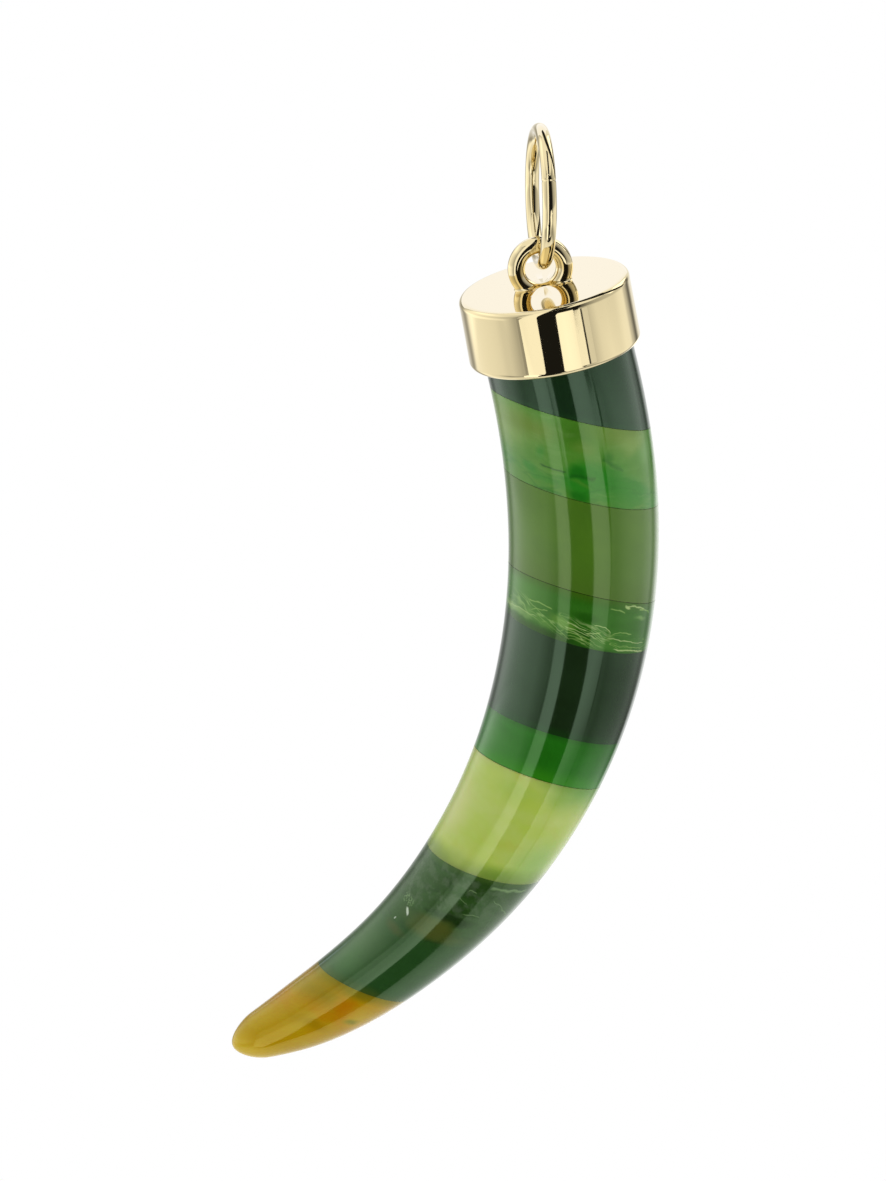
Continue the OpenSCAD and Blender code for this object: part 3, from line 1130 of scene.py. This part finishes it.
def wispy(bench, number):
    paint = SlicePaint(bench, number, CLEAR_GREEN, 1.0, 0.45)
    paint.clouds(1.5, 3.0, (58, 124, 32), 0.6)
    paint.spots([
        (19.6, -70, 5.0, 2.6, (84, 146, 50), 0.75, 0, 0.9),
    ])
    paint.below_face(0.0, 0.9, (70, 108, 20), 0.75)
    paint.spots([
        (21.2, -4, 1.6, 0.6, DARK_GAP, 0.8, 0, 0.8),
        (22.9, -10, 3.0, 1.0, DARK_GAP, 0.7, 0, 0.8),
    ])
    bunches = paint.cloud_mask(1.0, 2.2, 0.44, 0.6)
    tilted = paint.swirled["Height"] + paint.round * 0.12
    band = paint.bench.fall(tilted, 1.5, 2.2) * paint.bench.ramp(paint.height, 0.0, 0.5)
    paint.lay(band * bunches, (78, 142, 44), 0.5)
    paint.lay(band * bunches * paint.fibre_mask(0.5, 5.0, 0.03), SOFT_THREAD, 0.75)
    slanted = paint.sheared(0.34)
    comb = paint.spot_mask(22.6, -8, 3.4, 1.3) * paint.fibre_mask(0.34, 9.0, 0.05, slanted)
    paint.lay(comb, PALE_THREAD, 0.6)
    left_comb = paint.spot_mask(21.4, -46, 3.6, 1.0, -0.15, 0.7) * paint.fibre_mask(0.42, 7.0, 0.06, slanted)
    paint.lay(left_comb, (164, 204, 116), 0.65)
    paint.spots([
        (22.0, -72, 3.4, 0.5, (150, 190, 108), 0.7, 0, 0.9),
        (21.6, -52, 0.7, 0.8, (120, 170, 80), 0.55, 0, 0.9),
        (21.9, -22, 1.7, 0.6, (116, 166, 62), 0.7, -0.2, 0.9),
        (22.3, -36, 1.6, 0.6, (100, 152, 60), 0.6, -0.2, 0.9),
    ])
    paint.threads([
        ((22.2, -86), (21.9, -42), PALE_THREAD, 0.55, 0.1, 0.09),
        ((20.5, -54), (20.9, -30), SOFT_THREAD, 0.9, 0.06, 0.09),
        ((21.4, -50), (21.1, -34), SOFT_THREAD, 0.8, 0.08, 0.07),
        ((21.8, -19), (22.4, -3), PALE_THREAD, 0.9, 0.05, 0.06),
        ((22.1, -20), (22.9, 0), PALE_THREAD, 0.85, 0.05, 0.05),
        ((22.5, -19), (23.2, 2), SOFT_THREAD, 0.9, 0.04, 0.06),
        ((22.8, -17), (23.6, 4), SOFT_THREAD, 0.8, 0.04, 0.05),
        ((23.1, -16), (23.6, -2), SOFT_THREAD, 0.7, 0.04, 0.05),
        ((21.9, 2), (22.6, 17), PALE_THREAD, 0.95, 0.3, 0.07),
        ((22.6, -4), (22.5, 9), PALE_THREAD, 0.8, -0.12, 0.06),
        ((22.7, 17), (22.9, 37), SOFT_THREAD, 0.9, 0.22, 0.07),
        ((22.9, 13), (24.0, 56), PALE_THREAD, 0.9, 0.06, 0.06),
        ((23.5, 18), (24.3, 52), SOFT_THREAD, 0.7, 0.05, 0.05),
        ((23.9, 20), (24.65, 58), PALE_THREAD, 1.0, 0.04, 0.1),
        ((24.1, 26), (24.5, 48), PALE_THREAD, 0.8, 0.12, 0.06),
    ])
    paint.spots([
        (20.5, 29, 0.4, 0.16, PALE_THREAD, 0.9, -0.3, 0.6),
    ])
    paint.threads([
        ((20.4, 27), (21.1, 50), PALE_THREAD, 0.9, 0.14, 0.08),
        ((20.9, 42), (21.6, 58), SOFT_THREAD, 0.9, 0.08, 0.1),
        ((20.5, 14), (21.0, 28), SOFT_THREAD, 0.8, 0.14, 0.08),
    ])
    paint.spots([
        (21.7, 45, 1.1, 0.3, (130, 176, 92), 0.8, -0.15, 0.9),
    ])
    left_side = paint.bench.fall(paint.round, -3.0, 0.0)
    paint.lay(left_side * paint.low_mask(0.1, 0.9), (36, 66, 26), 0.85)
    paint.above_face(0.0, 0.2, (40, 84, 26), 0.5)
    return paint

# %% [markdown]
# ## Lime slice
#
# Milky and bright, so the light goes deepest here. Toward both borders the darker neighbours show through,
# and that shade is painted into the colour.

# %% Recipe for the lime slice
def lime(bench, number):
    paint = SlicePaint(bench, number, (196, 220, 92), 3.0, 1.4)
    paint.clouds(3.0, 1.6, (206, 224, 122), 0.7)
    paint.clouds(2.2, 1.3, (200, 212, 88), 0.5, 0.5, 0.7)
    paint.spots([
        (43.0, -74, 3.0, 4.0, (222, 226, 140), 0.6, 0, 0.9),
        (38.0, -26, 2.6, 1.6, (176, 210, 86), 0.5, 0, 0.95),
        (44.0, 36, 3.8, 4.2, (162, 208, 104), 0.8, 0, 0.9),
        (36.6, 46, 4.8, 3.0, (118, 180, 66), 0.9, 0, 0.95),
        (45.8, 12, 4.4, 1.6, (150, 200, 66), 0.75, 0, 0.9),
    ])
    # Painted shade of the darker neighbours: along the lower face, and under the upper face toward the right
    paint.lay(paint.low_mask(0.0, 1.7), (116, 148, 60), 0.75)
    shade_under_top_face = paint.bench.fall(paint.depth, 0.0, 1.0) * paint.bench.ramp(paint.round, 0.0, 3.0, 0.2, 1.0)
    paint.lay(shade_under_top_face, (90, 156, 40), 0.5)
    return paint

# %% [markdown]
# ## Moss slice
#
# Dark and clear enough to see into: mottles, a brown patch, a few bubbles and hair-fine curves. Along both
# faces it is painted lighter, where the light of the pale slices beside it comes through.

# %% Recipe for the moss slice
MOSS = (46, 79, 27)
BUBBLE = (225, 238, 215)


def moss(bench, number):
    paint = SlicePaint(bench, number, MOSS, 1.6, 0.8)
    paint.clouds(1.3, 1.8, (54, 92, 38), 0.7)
    paint.clouds(0.7, 2.0, (34, 64, 22), 0.6, 0.5, 0.7)
    paint.lay(paint.low_mask(5.5, 8.0), (38, 82, 36), 0.7)
    paint.spots([
        (58.5, -80, 6.5, 5.5, (92, 126, 78), 0.6, 0, 0.95),
        (61.0, -55, 2.6, 2.2, (74, 118, 62), 0.6, 0, 0.95),
    ])
    mottled = paint.spot_mask(49.8, -62, 4.6, 4.6) * paint.cloud_mask(0.9, 1.0, 0.44, 0.66)
    paint.lay(mottled, (98, 116, 88), 0.5)
    paint.spots([
        (51.2, -5, 1.3, 0.7, (28, 54, 14), 0.85, 0, 0.6),
        (53.0, -17, 1.6, 1.35, (92, 98, 36), 0.8, 0.1, 0.65),
        (53.0, 2, 1.7, 0.75, (82, 94, 38), 0.65, 0, 0.8),
        (53.4, -34, 1.6, 0.9, (76, 96, 44), 0.5, 0, 0.9),
        (55.5, -49, 1.5, 0.7, (86, 88, 44), 0.6, -0.2, 0.9),
    ])
    speckles = paint.spot_mask(52.8, -59, 0.6, 0.6) * paint.cloud_mask(0.2, 1.0, 0.46, 0.62)
    paint.lay(speckles, (150, 186, 124), 0.65)
    paint.spots([
        (53.6, -50, 0.13, 0.34, BUBBLE, 0.9, -0.8, 0.6),
        (54.7, -55, 0.17, 0.13, BUBBLE, 0.75, 0.6, 0.6),
    ])
    curve = (128, 160, 104)
    paint.threads([
        ((47.1, 2), (46.1, 46), curve, 0.8, 0.05, 0.22),
        ((46.9, 8), (46.0, 46), curve, 0.6, 0.05, 0.07),
        ((47.8, 16), (49.0, 50), curve, 0.6, 0.12, 0.08),
        ((48.3, -12), (47.9, -3), curve, 0.9, 0.16, 0.06),
        ((49.2, -13), (49.3, -1), curve, 0.7, -0.06, 0.06),
        ((50.2, -1), (49.6, 16), curve, 0.6, 0.05, 0.08),
        ((48.6, 24), (50.6, 40), (70, 104, 54), 0.6, 0.2, 0.2),
    ])
    # Painted light: lighter under the lime slice above and over the amber slice below, whose light comes
    # through
    paint.below_face(0.0, 0.6, (80, 112, 40), 0.5)
    paint.lay(paint.low_mask(-0.3, 0.9), (84, 98, 30), 0.65)
    return paint

# %% [markdown]
# ## Amber slice
#
# The tip is honey yellow with orange clouds. Where it meets the moss slice, a breath of green is painted in:
# the darker moss seen through the clear resin, painted shade.

# %% Recipe for the amber slice
def amber(bench, number):
    paint = SlicePaint(bench, number, (200, 158, 8), 2.4, 1.0)
    paint.clouds(2.2, 1.6, (204, 146, 10), 0.8)
    paint.clouds(1.2, 2.5, (200, 168, 26), 0.6, 0.5, 0.7)
    paint.spots([
        (64.6, -46, 3.0, 1.8, (162, 138, 20), 0.8, 0, 0.9),
        (63.6, 0, 1.3, 1.7, (204, 132, 4), 0.85, 0, 0.8),
        (66.6, -3, 1.3, 0.8, (176, 138, 4), 0.7, 0, 0.9),
        (61.8, -8, 1.6, 0.9, (158, 132, 16), 0.7, 0, 0.9),
        (63.3, 30, 2.0, 1.6, (216, 184, 50), 0.5, 0, 0.9),
        (63.8, 26, 1.0, 0.45, (132, 136, 32), 0.75, 0.2, 0.9),
    ])
    # Painted shade: greener under the upper face, where the moss slice shows through
    paint.below_face(0.0, 1.2, (124, 122, 22), 0.75)
    paint.lay(paint.bench.ramp(paint.depth, 4.0, 6.0), (206, 170, 14), 0.7)
    paint.lay(paint.bench.ramp(paint.depth, 7.0, 10.0), (236, 200, 44), 0.9)
    return paint

# %% [markdown]
# ## The nine slices
#
# Now the tree runs once for each slice. Where a fine dark line shows between two slices of the real
# pendant, the gap left between them is the width of a glue line, and the resin beside it is darker.
# Elsewhere they nearly touch.

# %% Slices
DARK_GLUE = 0.03 * MM
CLEAR_GLUE = 0.002 * MM
GLUE_LINES = [DARK_GLUE, DARK_GLUE, DARK_GLUE, CLEAR_GLUE, CLEAR_GLUE, DARK_GLUE, CLEAR_GLUE,
              CLEAR_GLUE]
GLUE_STRENGTH = 0.7
RING_SPACING = 0.35 * MM
SIDES = 192


def slice_ends(number):
    """The modifier's values for both ends of a slice, counted from the cap."""
    if number == 0:
        first = (-tenon_l, rim_point - tenon_l * tusk_down, -tusk_down, 0.0)
    else:
        first = (*faces[number], -GLUE_LINES[number - 1] / 2)
    if number == len(GLUE_PLANES):
        last = (*faces[number + 1], 0.0)
    else:
        last = (*faces[number + 1], GLUE_LINES[number] / 2)
    return first, last


def make_slice(number, name, node, recipe, gloss_tint, glow, glow_scale):
    first, last = slice_ends(number)
    values = {"Sides": SIDES, "Nose length": NOSE_L, "Pointed": number == len(GLUE_PLANES)}
    values["Rings"] = math.ceil((last[0] - first[0]) / RING_SPACING) + 1
    for end, (station, point, normal, height) in (("Start", first), ("End", last)):
        values[end + " distance"] = station + tenon_l
        values[end + " point"] = tuple(point)
        values[end + " normal"] = tuple(normal)
        values[end + " height"] = height
    dark_line = number < len(GLUE_LINES) and GLUE_LINES[number] == DARK_GLUE
    values["Material"] = make_resin(
        name, number, recipe, gloss_tint, glow, glow_scale, GLUE_STRENGTH if dark_line else 0.0)
    piece = grown(name, slice_tree, values, centre_line.copy())
    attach(piece, "pendant")
    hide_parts(node)


# Each row is (piece, CAD node, slot, recipe, gloss tint, share of light that goes in, how deep in mm)
SLICES = [
    ("dark_green_slice", "slice_1_dark_green", "resin_dark_green", dark_green, (0.68, 1, 0.72), 0.25, 1),
    ("marbled_slice", "slice_2_marbled_green", "resin_marbled_green", marbled, (0.84, 1, 0.64), 0.4, 0.6),
    ("olive_slice", "slice_3_olive", "resin_olive", olive, (0.86, 1, 0.6), 0.4, 0.6),
    ("wispy_slice", "slice_4_wispy_green", "resin_wispy_green", wispy, (0.7, 1, 0.52), 0.3, 1),
    ("black_green_slice", "slice_5_black_green", "resin_black_green", black_green, (0.66, 1, 0.68), 0.25, 1),
    ("mid_green_slice", "slice_6_mid_green", "resin_mid_green", mid_green, (0.6, 1, 0.5), 0.3, 1),
    ("lime_slice", "slice_7_lime", "resin_lime", lime, (1.0, 1, 0.78), 0.6, 0.6),
    ("moss_slice", "slice_8_moss", "resin_moss", moss, (0.7, 1, 0.62), 0.25, 1),
    ("amber_slice", "slice_9_amber", "resin_amber", amber, (0.98, 1, 0.3), 0.5, 0.8),
]
for number, (name, node, slot, recipe, gloss_tint, glow, glow_scale) in enumerate(SLICES):
    make_slice(number, name, node, recipe, gloss_tint, glow, glow_scale)

# %% [markdown]
# ## The studio
#
# A polished thing shows its surroundings more than itself, so the studio is built to be mirrored. Two tall
# softboxes stand left and right of the camera, with black cloth between, beside and above them: they draw
# the two bright stripes with the dark one between. The left box stands close, which bends its stripe along
# the tusk. Pale walls stand at the sides and behind, the left one brighter. A pale table lies below,
# brightest behind the pendant.
#
# What the gloss mirrors and what lights the colours under it are kept apart here, as a photographer does
# with flags: the sheets are only mirrored, and an even fill light with a weak lamp on the right lights the
# resin. The camera sees neither, only a plain white floor and backdrop.

# %% Studio helpers
TABLE_Z = -0.2
WALL_R = 0.9


def studio_point(right, front, height):
    return right * to_the_right + front * toward_camera + Vector((0, 0, height))


def round_point(azimuth, radius, height):
    """Azimuth 0 is toward the camera, 90 to the right of the picture."""
    angle = math.radians(azimuth)
    return studio_point(radius * math.sin(angle), radius * math.cos(angle), height)


def shining(name, attribute=None):
    """A material that shines white, or as brightly as each point's own attribute says."""
    material, bench = new_material(name)
    colour = (1, 1, 1, 1)
    if attribute:
        colour = bench.out("ShaderNodeAttribute", None, "Color", {"attribute_name": attribute})
    shine = bench.out("ShaderNodeEmission", {"Color": colour, "Strength": 1.0})
    bench.add("ShaderNodeOutputMaterial", None, {"Surface": shine})
    return material


studio_glow = shining("studio_glow", "glow")


def sheet_mesh(name, rows, material):
    """An open mesh over rows of equally many points."""
    width = len(rows[0])
    faces = []
    for k in range(len(rows) - 1):
        for i in range(width - 1):
            low = k * width + i
            faces.append((low, low + 1, low + width + 1, low + width))
    mesh = new_mesh(name, [point for row in rows for point in row], faces)
    mesh.materials.append(material)
    return mesh


def studio_sheet(name, rows, mirrored=True):
    """A sheet over rows of (point, glow colour). It is mirrored, or else it lights the colours."""
    mesh = sheet_mesh(name, [[point for point, _ in row] for row in rows], studio_glow)
    colours = mesh.attributes.new("glow", "FLOAT_COLOR", "POINT")
    for i, (_, glow) in enumerate(item for row in rows for item in row):
        colours.data[i].color = (*glow, 1.0)
    sheet = placed(name, mesh)
    sheet.visible_camera = False
    sheet.visible_shadow = False
    sheet.visible_glossy = mirrored
    sheet.visible_diffuse = not mirrored
    print("Studio sheet", name, "of", len(mesh.vertices), "points")


def between(stops, at):
    """The value at a place between stops of (place, value)."""
    if at <= stops[0][0]:
        return stops[0][1]
    for (a, low), (b, high) in zip(stops, stops[1:]):
        if at <= b:
            return low + (high - low) * (at - a) / (b - a)
    return stops[-1][1]


def grey(value):
    return (value, value, value)

# %% Softboxes and black cloth
NEAR_R = 0.12
FRONT_R = 0.7


def softbox(name, front, edges, glows):
    """An upright panel. Each edge row is (height, left, right, dim), and glows go from left to right."""
    rows = []
    for height, left, right, dim in edges:
        row = []
        for i, glow in enumerate(glows):
            place = left + (right - left) * i / (len(glows) - 1)
            row.append((studio_point(place, front, height), grey(glow * dim)))
        rows.append(row)
    studio_sheet(name, rows)


softbox("softbox_left", NEAR_R,
        [(-0.199, -0.12, -0.048, 1), (-0.15, -0.114, -0.047, 1), (-0.13, -0.112, -0.046, 1),
         (-0.11, -0.11, -0.042, 1), (-0.1, -0.108, -0.038, 1), (-0.095, -0.1, -0.037, 1),
         (-0.09, -0.094, -0.037, 1), (-0.085, -0.083, -0.038, 1), (-0.08, -0.084, -0.041, 0.92),
         (-0.076, -0.086, -0.046, 0.85), (-0.074, -0.087, -0.044, 0.82), (-0.072, -0.084, -0.028, 0.8),
         (-0.06, -0.078, -0.024, 0.8), (-0.045, -0.075, -0.024, 0.8), (0.13, -0.075, -0.024, 0.8)],
        [1.4, 1.5, 1.5])
softbox("softbox_right", FRONT_R,
        [(-0.95, 0.06, 0.6, 0.6), (-0.85, 0.09, 0.6, 0.6), (-0.79, 0.19, 0.6, 0.5),
         (-0.73, 0.22, 0.62, 0.5), (-0.66, 0.18, 0.62, 0.5), (-0.6, 0.16, 0.6, 0.55),
         (-0.56, 0.175, 0.6, 0.65), (-0.53, 0.2, 0.6, 0.75), (-0.5, 0.205, 0.62, 0.8),
         (-0.42, 0.222, 0.61, 1), (-0.38, 0.222, 0.6, 1), (-0.33, 0.19, 0.59, 1),
         (-0.3, 0.177, 0.57, 1), (-0.27, 0.163, 0.54, 1), (-0.25, 0.157, 0.52, 1),
         (-0.235, 0.145, 0.51, 1), (-0.2, 0.175, 0.52, 1), (-0.13, 0.2, 0.5, 1),
         (-0.09, 0.2, 0.48, 0.1)],
        [1.3, 1.35, 1.3, 1.2])

BLACK = 0.012
CLOTH_FRONT = FRONT_R + 0.02
low_cloth = [(-0.8, 0.4), (-0.62, 0.4), (-0.45, 0.3), (-0.35, BLACK), (-0.2, BLACK), (0.7, BLACK)]
high_cloth = [(-0.8, 0.8), (-0.62, 0.8), (-0.45, 0.8), (-0.33, 0.6), (-0.2, BLACK), (0.7, BLACK)]
studio_sheet("black_cloth", [
    [(studio_point(right, CLOTH_FRONT, height), grey(glow)) for right, glow in cloth]
    for height, cloth in ((-1.1, low_cloth), (-0.2, low_cloth), (-0.06, high_cloth), (0.8, high_cloth))])
overhead_cloth = [(0.8, 0.7), (1.1, 0.5), (1.25, 0.25), (1.3, 0.0)]
studio_sheet("black_cloth_overhead", [
    [(studio_point(right, front, height), grey(BLACK)) for right in (-0.15, 0.25)]
    for height, front in overhead_cloth])

# %% [markdown]
# The walls' brightness runs with the direction, counted in degrees away from the camera. A thin dim line
# stands in each back corner, where two white cards don't quite meet. On the right a white card lies along
# the wall's foot.

# %% Walls
LEFT_SIDE = [(40, 0.4), (45, 0.5), (50, 0.68), (60, 0.8), (78, 1.02), (97, 1.18), (116, 1.35),
             (126, 1.35), (134, 1.0), (139, 0.6), (144, 0.42), (149, 0.42), (155, 0.5), (163, 0.7),
             (170, 0.85), (180, 1.1)]
RIGHT_SIDE = [(43, 0.1), (50, 0.22), (56, 0.34), (64, 0.48), (83, 0.6), (103, 0.68), (122, 0.85),
              (128, 0.8), (134, 0.4), (140, 0.15), (144, 0.25), (149, 0.7), (153, 0.95), (160, 0.95),
              (180, 1.1)]
RIGHT_CARD = [(40, 0.6), (50, 0.55), (58, 0.75), (68, 0.95), (83, 1.06), (100, 1.02), (110, 1.1),
              (122, 1.08), (129, 0.5), (134, 0.5), (139, 1.0), (150, 1.6), (160, 1.4), (180, 1.1)]
RIGHT_TABLE = [(40, 0.44), (51, 0.27), (62, 0.38), (73, 0.45), (96, 0.47), (118, 0.5), (127, 0.38),
               (134, 0.26), (140, 0.15), (145, 0.45), (151, 1.2), (161, 1.0), (180, 1.0)]
LEFT_BY_HEIGHT = [(-0.18, 1.2), (-0.07, 0.9), (0.2, 0.88), (0.35, 0.95), (0.45, 1.1), (0.6, 1.1),
                  (0.95, 0.8)]
CARD_BY_HEIGHT = [(-0.18, 1.0), (-0.13, 0.95), (-0.07, 0.0)]
CARD_STOPS = [(126, 1.0), (131, 0.0)]
WALL_STEP = 2.5
LAMP_STEPS = 12
WALL_HEIGHTS = [-0.9, -0.18, -0.13, -0.07, 0.0, 0.2, 0.35, 0.45, 0.6, 0.95]


def wall_glow(azimuth, height):
    """Azimuth runs from -180 to 180, with the camera at 0."""
    if azimuth < 0:
        return between(LEFT_SIDE, -azimuth) * between(LEFT_BY_HEIGHT, height)
    wall = between(RIGHT_SIDE, azimuth)
    card = between(CARD_BY_HEIGHT, height) * between(CARD_STOPS, azimuth)
    return wall + (between(RIGHT_CARD, azimuth) - wall) * card


def half_wall(name, side, start):
    count = round((180 - start) / WALL_STEP)
    azimuths = [side * (start + (180 - start) * i / count) for i in range(count + 1)]
    studio_sheet(name, [
        [(round_point(azimuth, WALL_R, height), grey(wall_glow(azimuth, height))) for azimuth in azimuths]
        for height in WALL_HEIGHTS])


def lamp(name, start, stop, bottom, top, radius, glow, mirrored):
    """A curved lamp in front of the wall."""
    azimuths = [start + (stop - start) * i / LAMP_STEPS for i in range(LAMP_STEPS + 1)]
    studio_sheet(name, [
        [(round_point(azimuth, radius, height), glow) for azimuth in azimuths]
        for height in (bottom, top)], mirrored)


half_wall("left_wall", -1, 40)
half_wall("right_wall", 1, 43)

# %% [markdown]
# A small card hangs low on the right, where the cap mirrors it. The dark strip in it draws the fine dark
# line on the cap's side.

# %% Card for the cap
CAP_CARD = [(35, 1.15), (38, 1.15), (41, 1.15), (44, 1.15), (45.6, 1.15), (45.8, 0.05), (48, 0.05),
            (48.2, 0.85), (56, 0.82)]
CAP_CARD_TOP = [(35, -0.187), (38, -0.179), (41, -0.17), (44, -0.162), (46, -0.157), (56, -0.138)]
CAP_CARD_W = 0.04
CAP_CARD_R = WALL_R - 0.05
studio_sheet("cap_card", [
    [(round_point(azimuth, CAP_CARD_R, between(CAP_CARD_TOP, azimuth) - drop), grey(glow))
     for azimuth, glow in CAP_CARD] for drop in (CAP_CARD_W, 0.0)])

# %% [markdown]
# A black ribbon rises from the right corner and curves overhead to the back: the cap's rounded edge mirrors
# it as the dark line that sets the top off from the side.

# %% Ribbon and lamps
def ribbon(name, stops, radius, glow):
    """A curved strip of cloth. Each stop is (azimuth, elevation, half width), in degrees."""
    middles = []
    for azimuth, elevation, _ in stops:
        across = radius * math.cos(math.radians(elevation))
        middles.append(round_point(azimuth, across, radius * math.sin(math.radians(elevation))))
    edges = [[], []]
    for i, (_, _, half_width) in enumerate(stops):
        along = middles[min(i + 1, len(stops) - 1)] - middles[max(i - 1, 0)]
        side = middles[i].cross(along).normalized() * radius * math.tan(math.radians(half_width))
        edges[0].append((middles[i] - side, glow))
        edges[1].append((middles[i] + side, glow))
    studio_sheet(name, edges)


ribbon("black_ribbon", [
    (126, 2, 4), (118, 12, 5), (112, 24, 7), (109, 36, 8), (110, 48, 9), (116, 58, 10), (135, 66, 11),
    (160, 66, 12), (178, 60, 12), (188, 50, 10), (192, 40, 6)], 0.8, grey(0.02))

# Each row is (name, from and to azimuth, bottom, top, distance in front of the wall, glow, mirrored)
for name, start, stop, bottom, top, in_front, glow, mirrored in [
        ("back_light", 160, 220, 0.12, 0.9, 0.02, (1.16, 1.21, 1.45), True),
        ("rim_lamp", 95, 150, 0.3, 0.9, 0.04, grey(1.8), True),
        ("fill_lamp", 60, 130, -0.15, 0.5, 0.06, grey(0.7), False)]:
    lamp(name, start, stop, bottom, top, WALL_R - in_front, glow, mirrored)

# %% [markdown]
# The table's mesh is a polar grid, so that the shading can follow both the distance and the direction. The
# slices mirror its left half nearer by and farther off than the cap does, so it is shaded by distance in
# three bands. In front it stops at the black cloth.

# %% Table
TABLE_FRONT = 0.11
FRONT_HALF_ANGLE = 42
NEAR_TABLE = [(-0.15, 1.45), (-0.1, 1.2), (-0.07, 1.05), (-0.03, 1.0), (0.0, 0.96), (0.03, 1.0),
              (0.065, 1.05), (0.1, 0.92), (0.11, 0.85)]
LEFT_TABLE = [(42, 0.4), (55, 0.43), (66, 0.4), (77, 0.66), (88, 0.93), (99, 0.98), (110, 1.14),
              (121, 1.3), (131, 1.12), (142, 0.34), (150, 0.4), (180, 1.0)]
LEFT_CORNER = [(139, 0.6), (143, 0.38), (149, 0.4), (153, 0.55), (163, 0.72), (180, 1.1)]
LEFT_TABLE_CAP = [(42, 0.5), (50, 0.66), (58, 0.8), (66, 0.82), (74, 0.92), (85, 0.97), (96, 1.0),
                  (107, 1.03), (124, 1.1), (133, 1.0)] + LEFT_CORNER
LEFT_TABLE_FAR = [(42, 0.5), (50, 0.7), (60, 1.0), (72, 1.1), (82, 1.2), (92, 1.28), (105, 1.33),
                  (114, 1.4), (124, 1.4), (133, 1.12)] + LEFT_CORNER
TABLE_RADII = [0.001, 0.02, 0.04, 0.06, 0.08, 0.1, 0.12, 0.15, 0.18, 0.2, 0.22, 0.26, 0.3, 0.322, 0.345,
               0.38, 0.4, 0.42, 0.55, 0.68, 0.92]
TABLE_TURN = 3
CAP_BAND = (0.322, 0.345, 0.38, 0.4)
NEAR_TO_MIDDLE = [(0.15, 0.0), (0.2, 0.85), (0.22, 1.0)]
MIDDLE_TO_FAR = [(0.26, 0.0), (0.42, 1.0)]
CORNER_AZIMUTH = 131
CORNER_R = 0.6


def table_glow(azimuth, radius):
    near = between(NEAR_TABLE, radius * math.cos(math.radians(azimuth)))
    if azimuth < 0:
        tables = (LEFT_TABLE, LEFT_TABLE_CAP, LEFT_TABLE_CAP, LEFT_TABLE_FAR)
        middle = between([(edge, between(stops, -azimuth)) for edge, stops in zip(CAP_BAND, tables)], radius)
        far = middle
    else:
        middle = between(RIGHT_TABLE, azimuth)
        far = between(RIGHT_CARD, azimuth)
        if azimuth > CORNER_AZIMUTH and radius > CORNER_R:
            far = between(RIGHT_SIDE, azimuth)
    glow = near + (middle - near) * between(NEAR_TO_MIDDLE, radius)
    return grey(glow + (far - middle) * between(MIDDLE_TO_FAR, radius))


def table_half(name, side):
    azimuths = [side * azimuth for azimuth in range(FRONT_HALF_ANGLE, 181, TABLE_TURN)]
    studio_sheet(name, [
        [(round_point(azimuth, radius, TABLE_Z), table_glow(azimuth, radius)) for azimuth in azimuths]
        for radius in TABLE_RADII])


table_half("table_left", -1)
table_half("table_right", 1)
front_rows = []
for front in (0.001, 0.03, 0.06, 0.09, TABLE_FRONT):
    half = front * math.tan(math.radians(FRONT_HALF_ANGLE))
    front_rows.append([(studio_point(side * half, front, TABLE_Z), grey(between(NEAR_TABLE, front)))
                       for side in (-1, -0.5, 0, 0.5, 1)])
studio_sheet("table_front", front_rows)

# %% [markdown]
# A pale dome closes the studio overhead. The even fill light is the world's own background, which lights the
# resin and isn't mirrored. Last comes what the camera sees round the pendant: a plain white floor that curves
# up into a backdrop, and that neither lights nor is mirrored.

# %% Dome and fill light
DOME = [(0.92, 0.9), (0.75, 1.15), (0.5, 1.32), (0.25, 1.4), (0.001, 1.42)]
DOME_GLOW = 1.05
FILL_LIGHT = 0.64

studio_sheet("dome", [
    [(round_point(azimuth, radius, height), grey(DOME_GLOW)) for azimuth in range(0, 361, 10)]
    for radius, height in DOME])
world = bpy.data.worlds.new("fill_light")
bpy.context.scene.world = world
world.use_nodes = True
world.node_tree.nodes["Background"].inputs["Color"].default_value = (FILL_LIGHT, FILL_LIGHT, FILL_LIGHT, 1)
world.cycles_visibility.glossy = False

# %% Floor and backdrop
def make_backdrop():
    """A round floor that curves up into a wall and closes overhead, seen by the camera alone."""
    profile = [
        (0.0, TABLE_Z), (1.6, TABLE_Z), (1.9, TABLE_Z + 0.1), (2.0, TABLE_Z + 0.4), (2.0, 2.0), (0.0, 2.6)]
    rows = [
        [round_point(azimuth, radius, height) for azimuth in range(0, 361, 15)]
        for radius, height in profile]
    backdrop = placed("floor_and_backdrop", sheet_mesh("floor_and_backdrop", rows, shining("plain_white")))
    for ray in ("diffuse", "glossy", "transmission", "shadow"):
        setattr(backdrop, "visible_" + ray, False)


make_backdrop()
bpy.context.scene.view_settings.view_transform = "Standard"
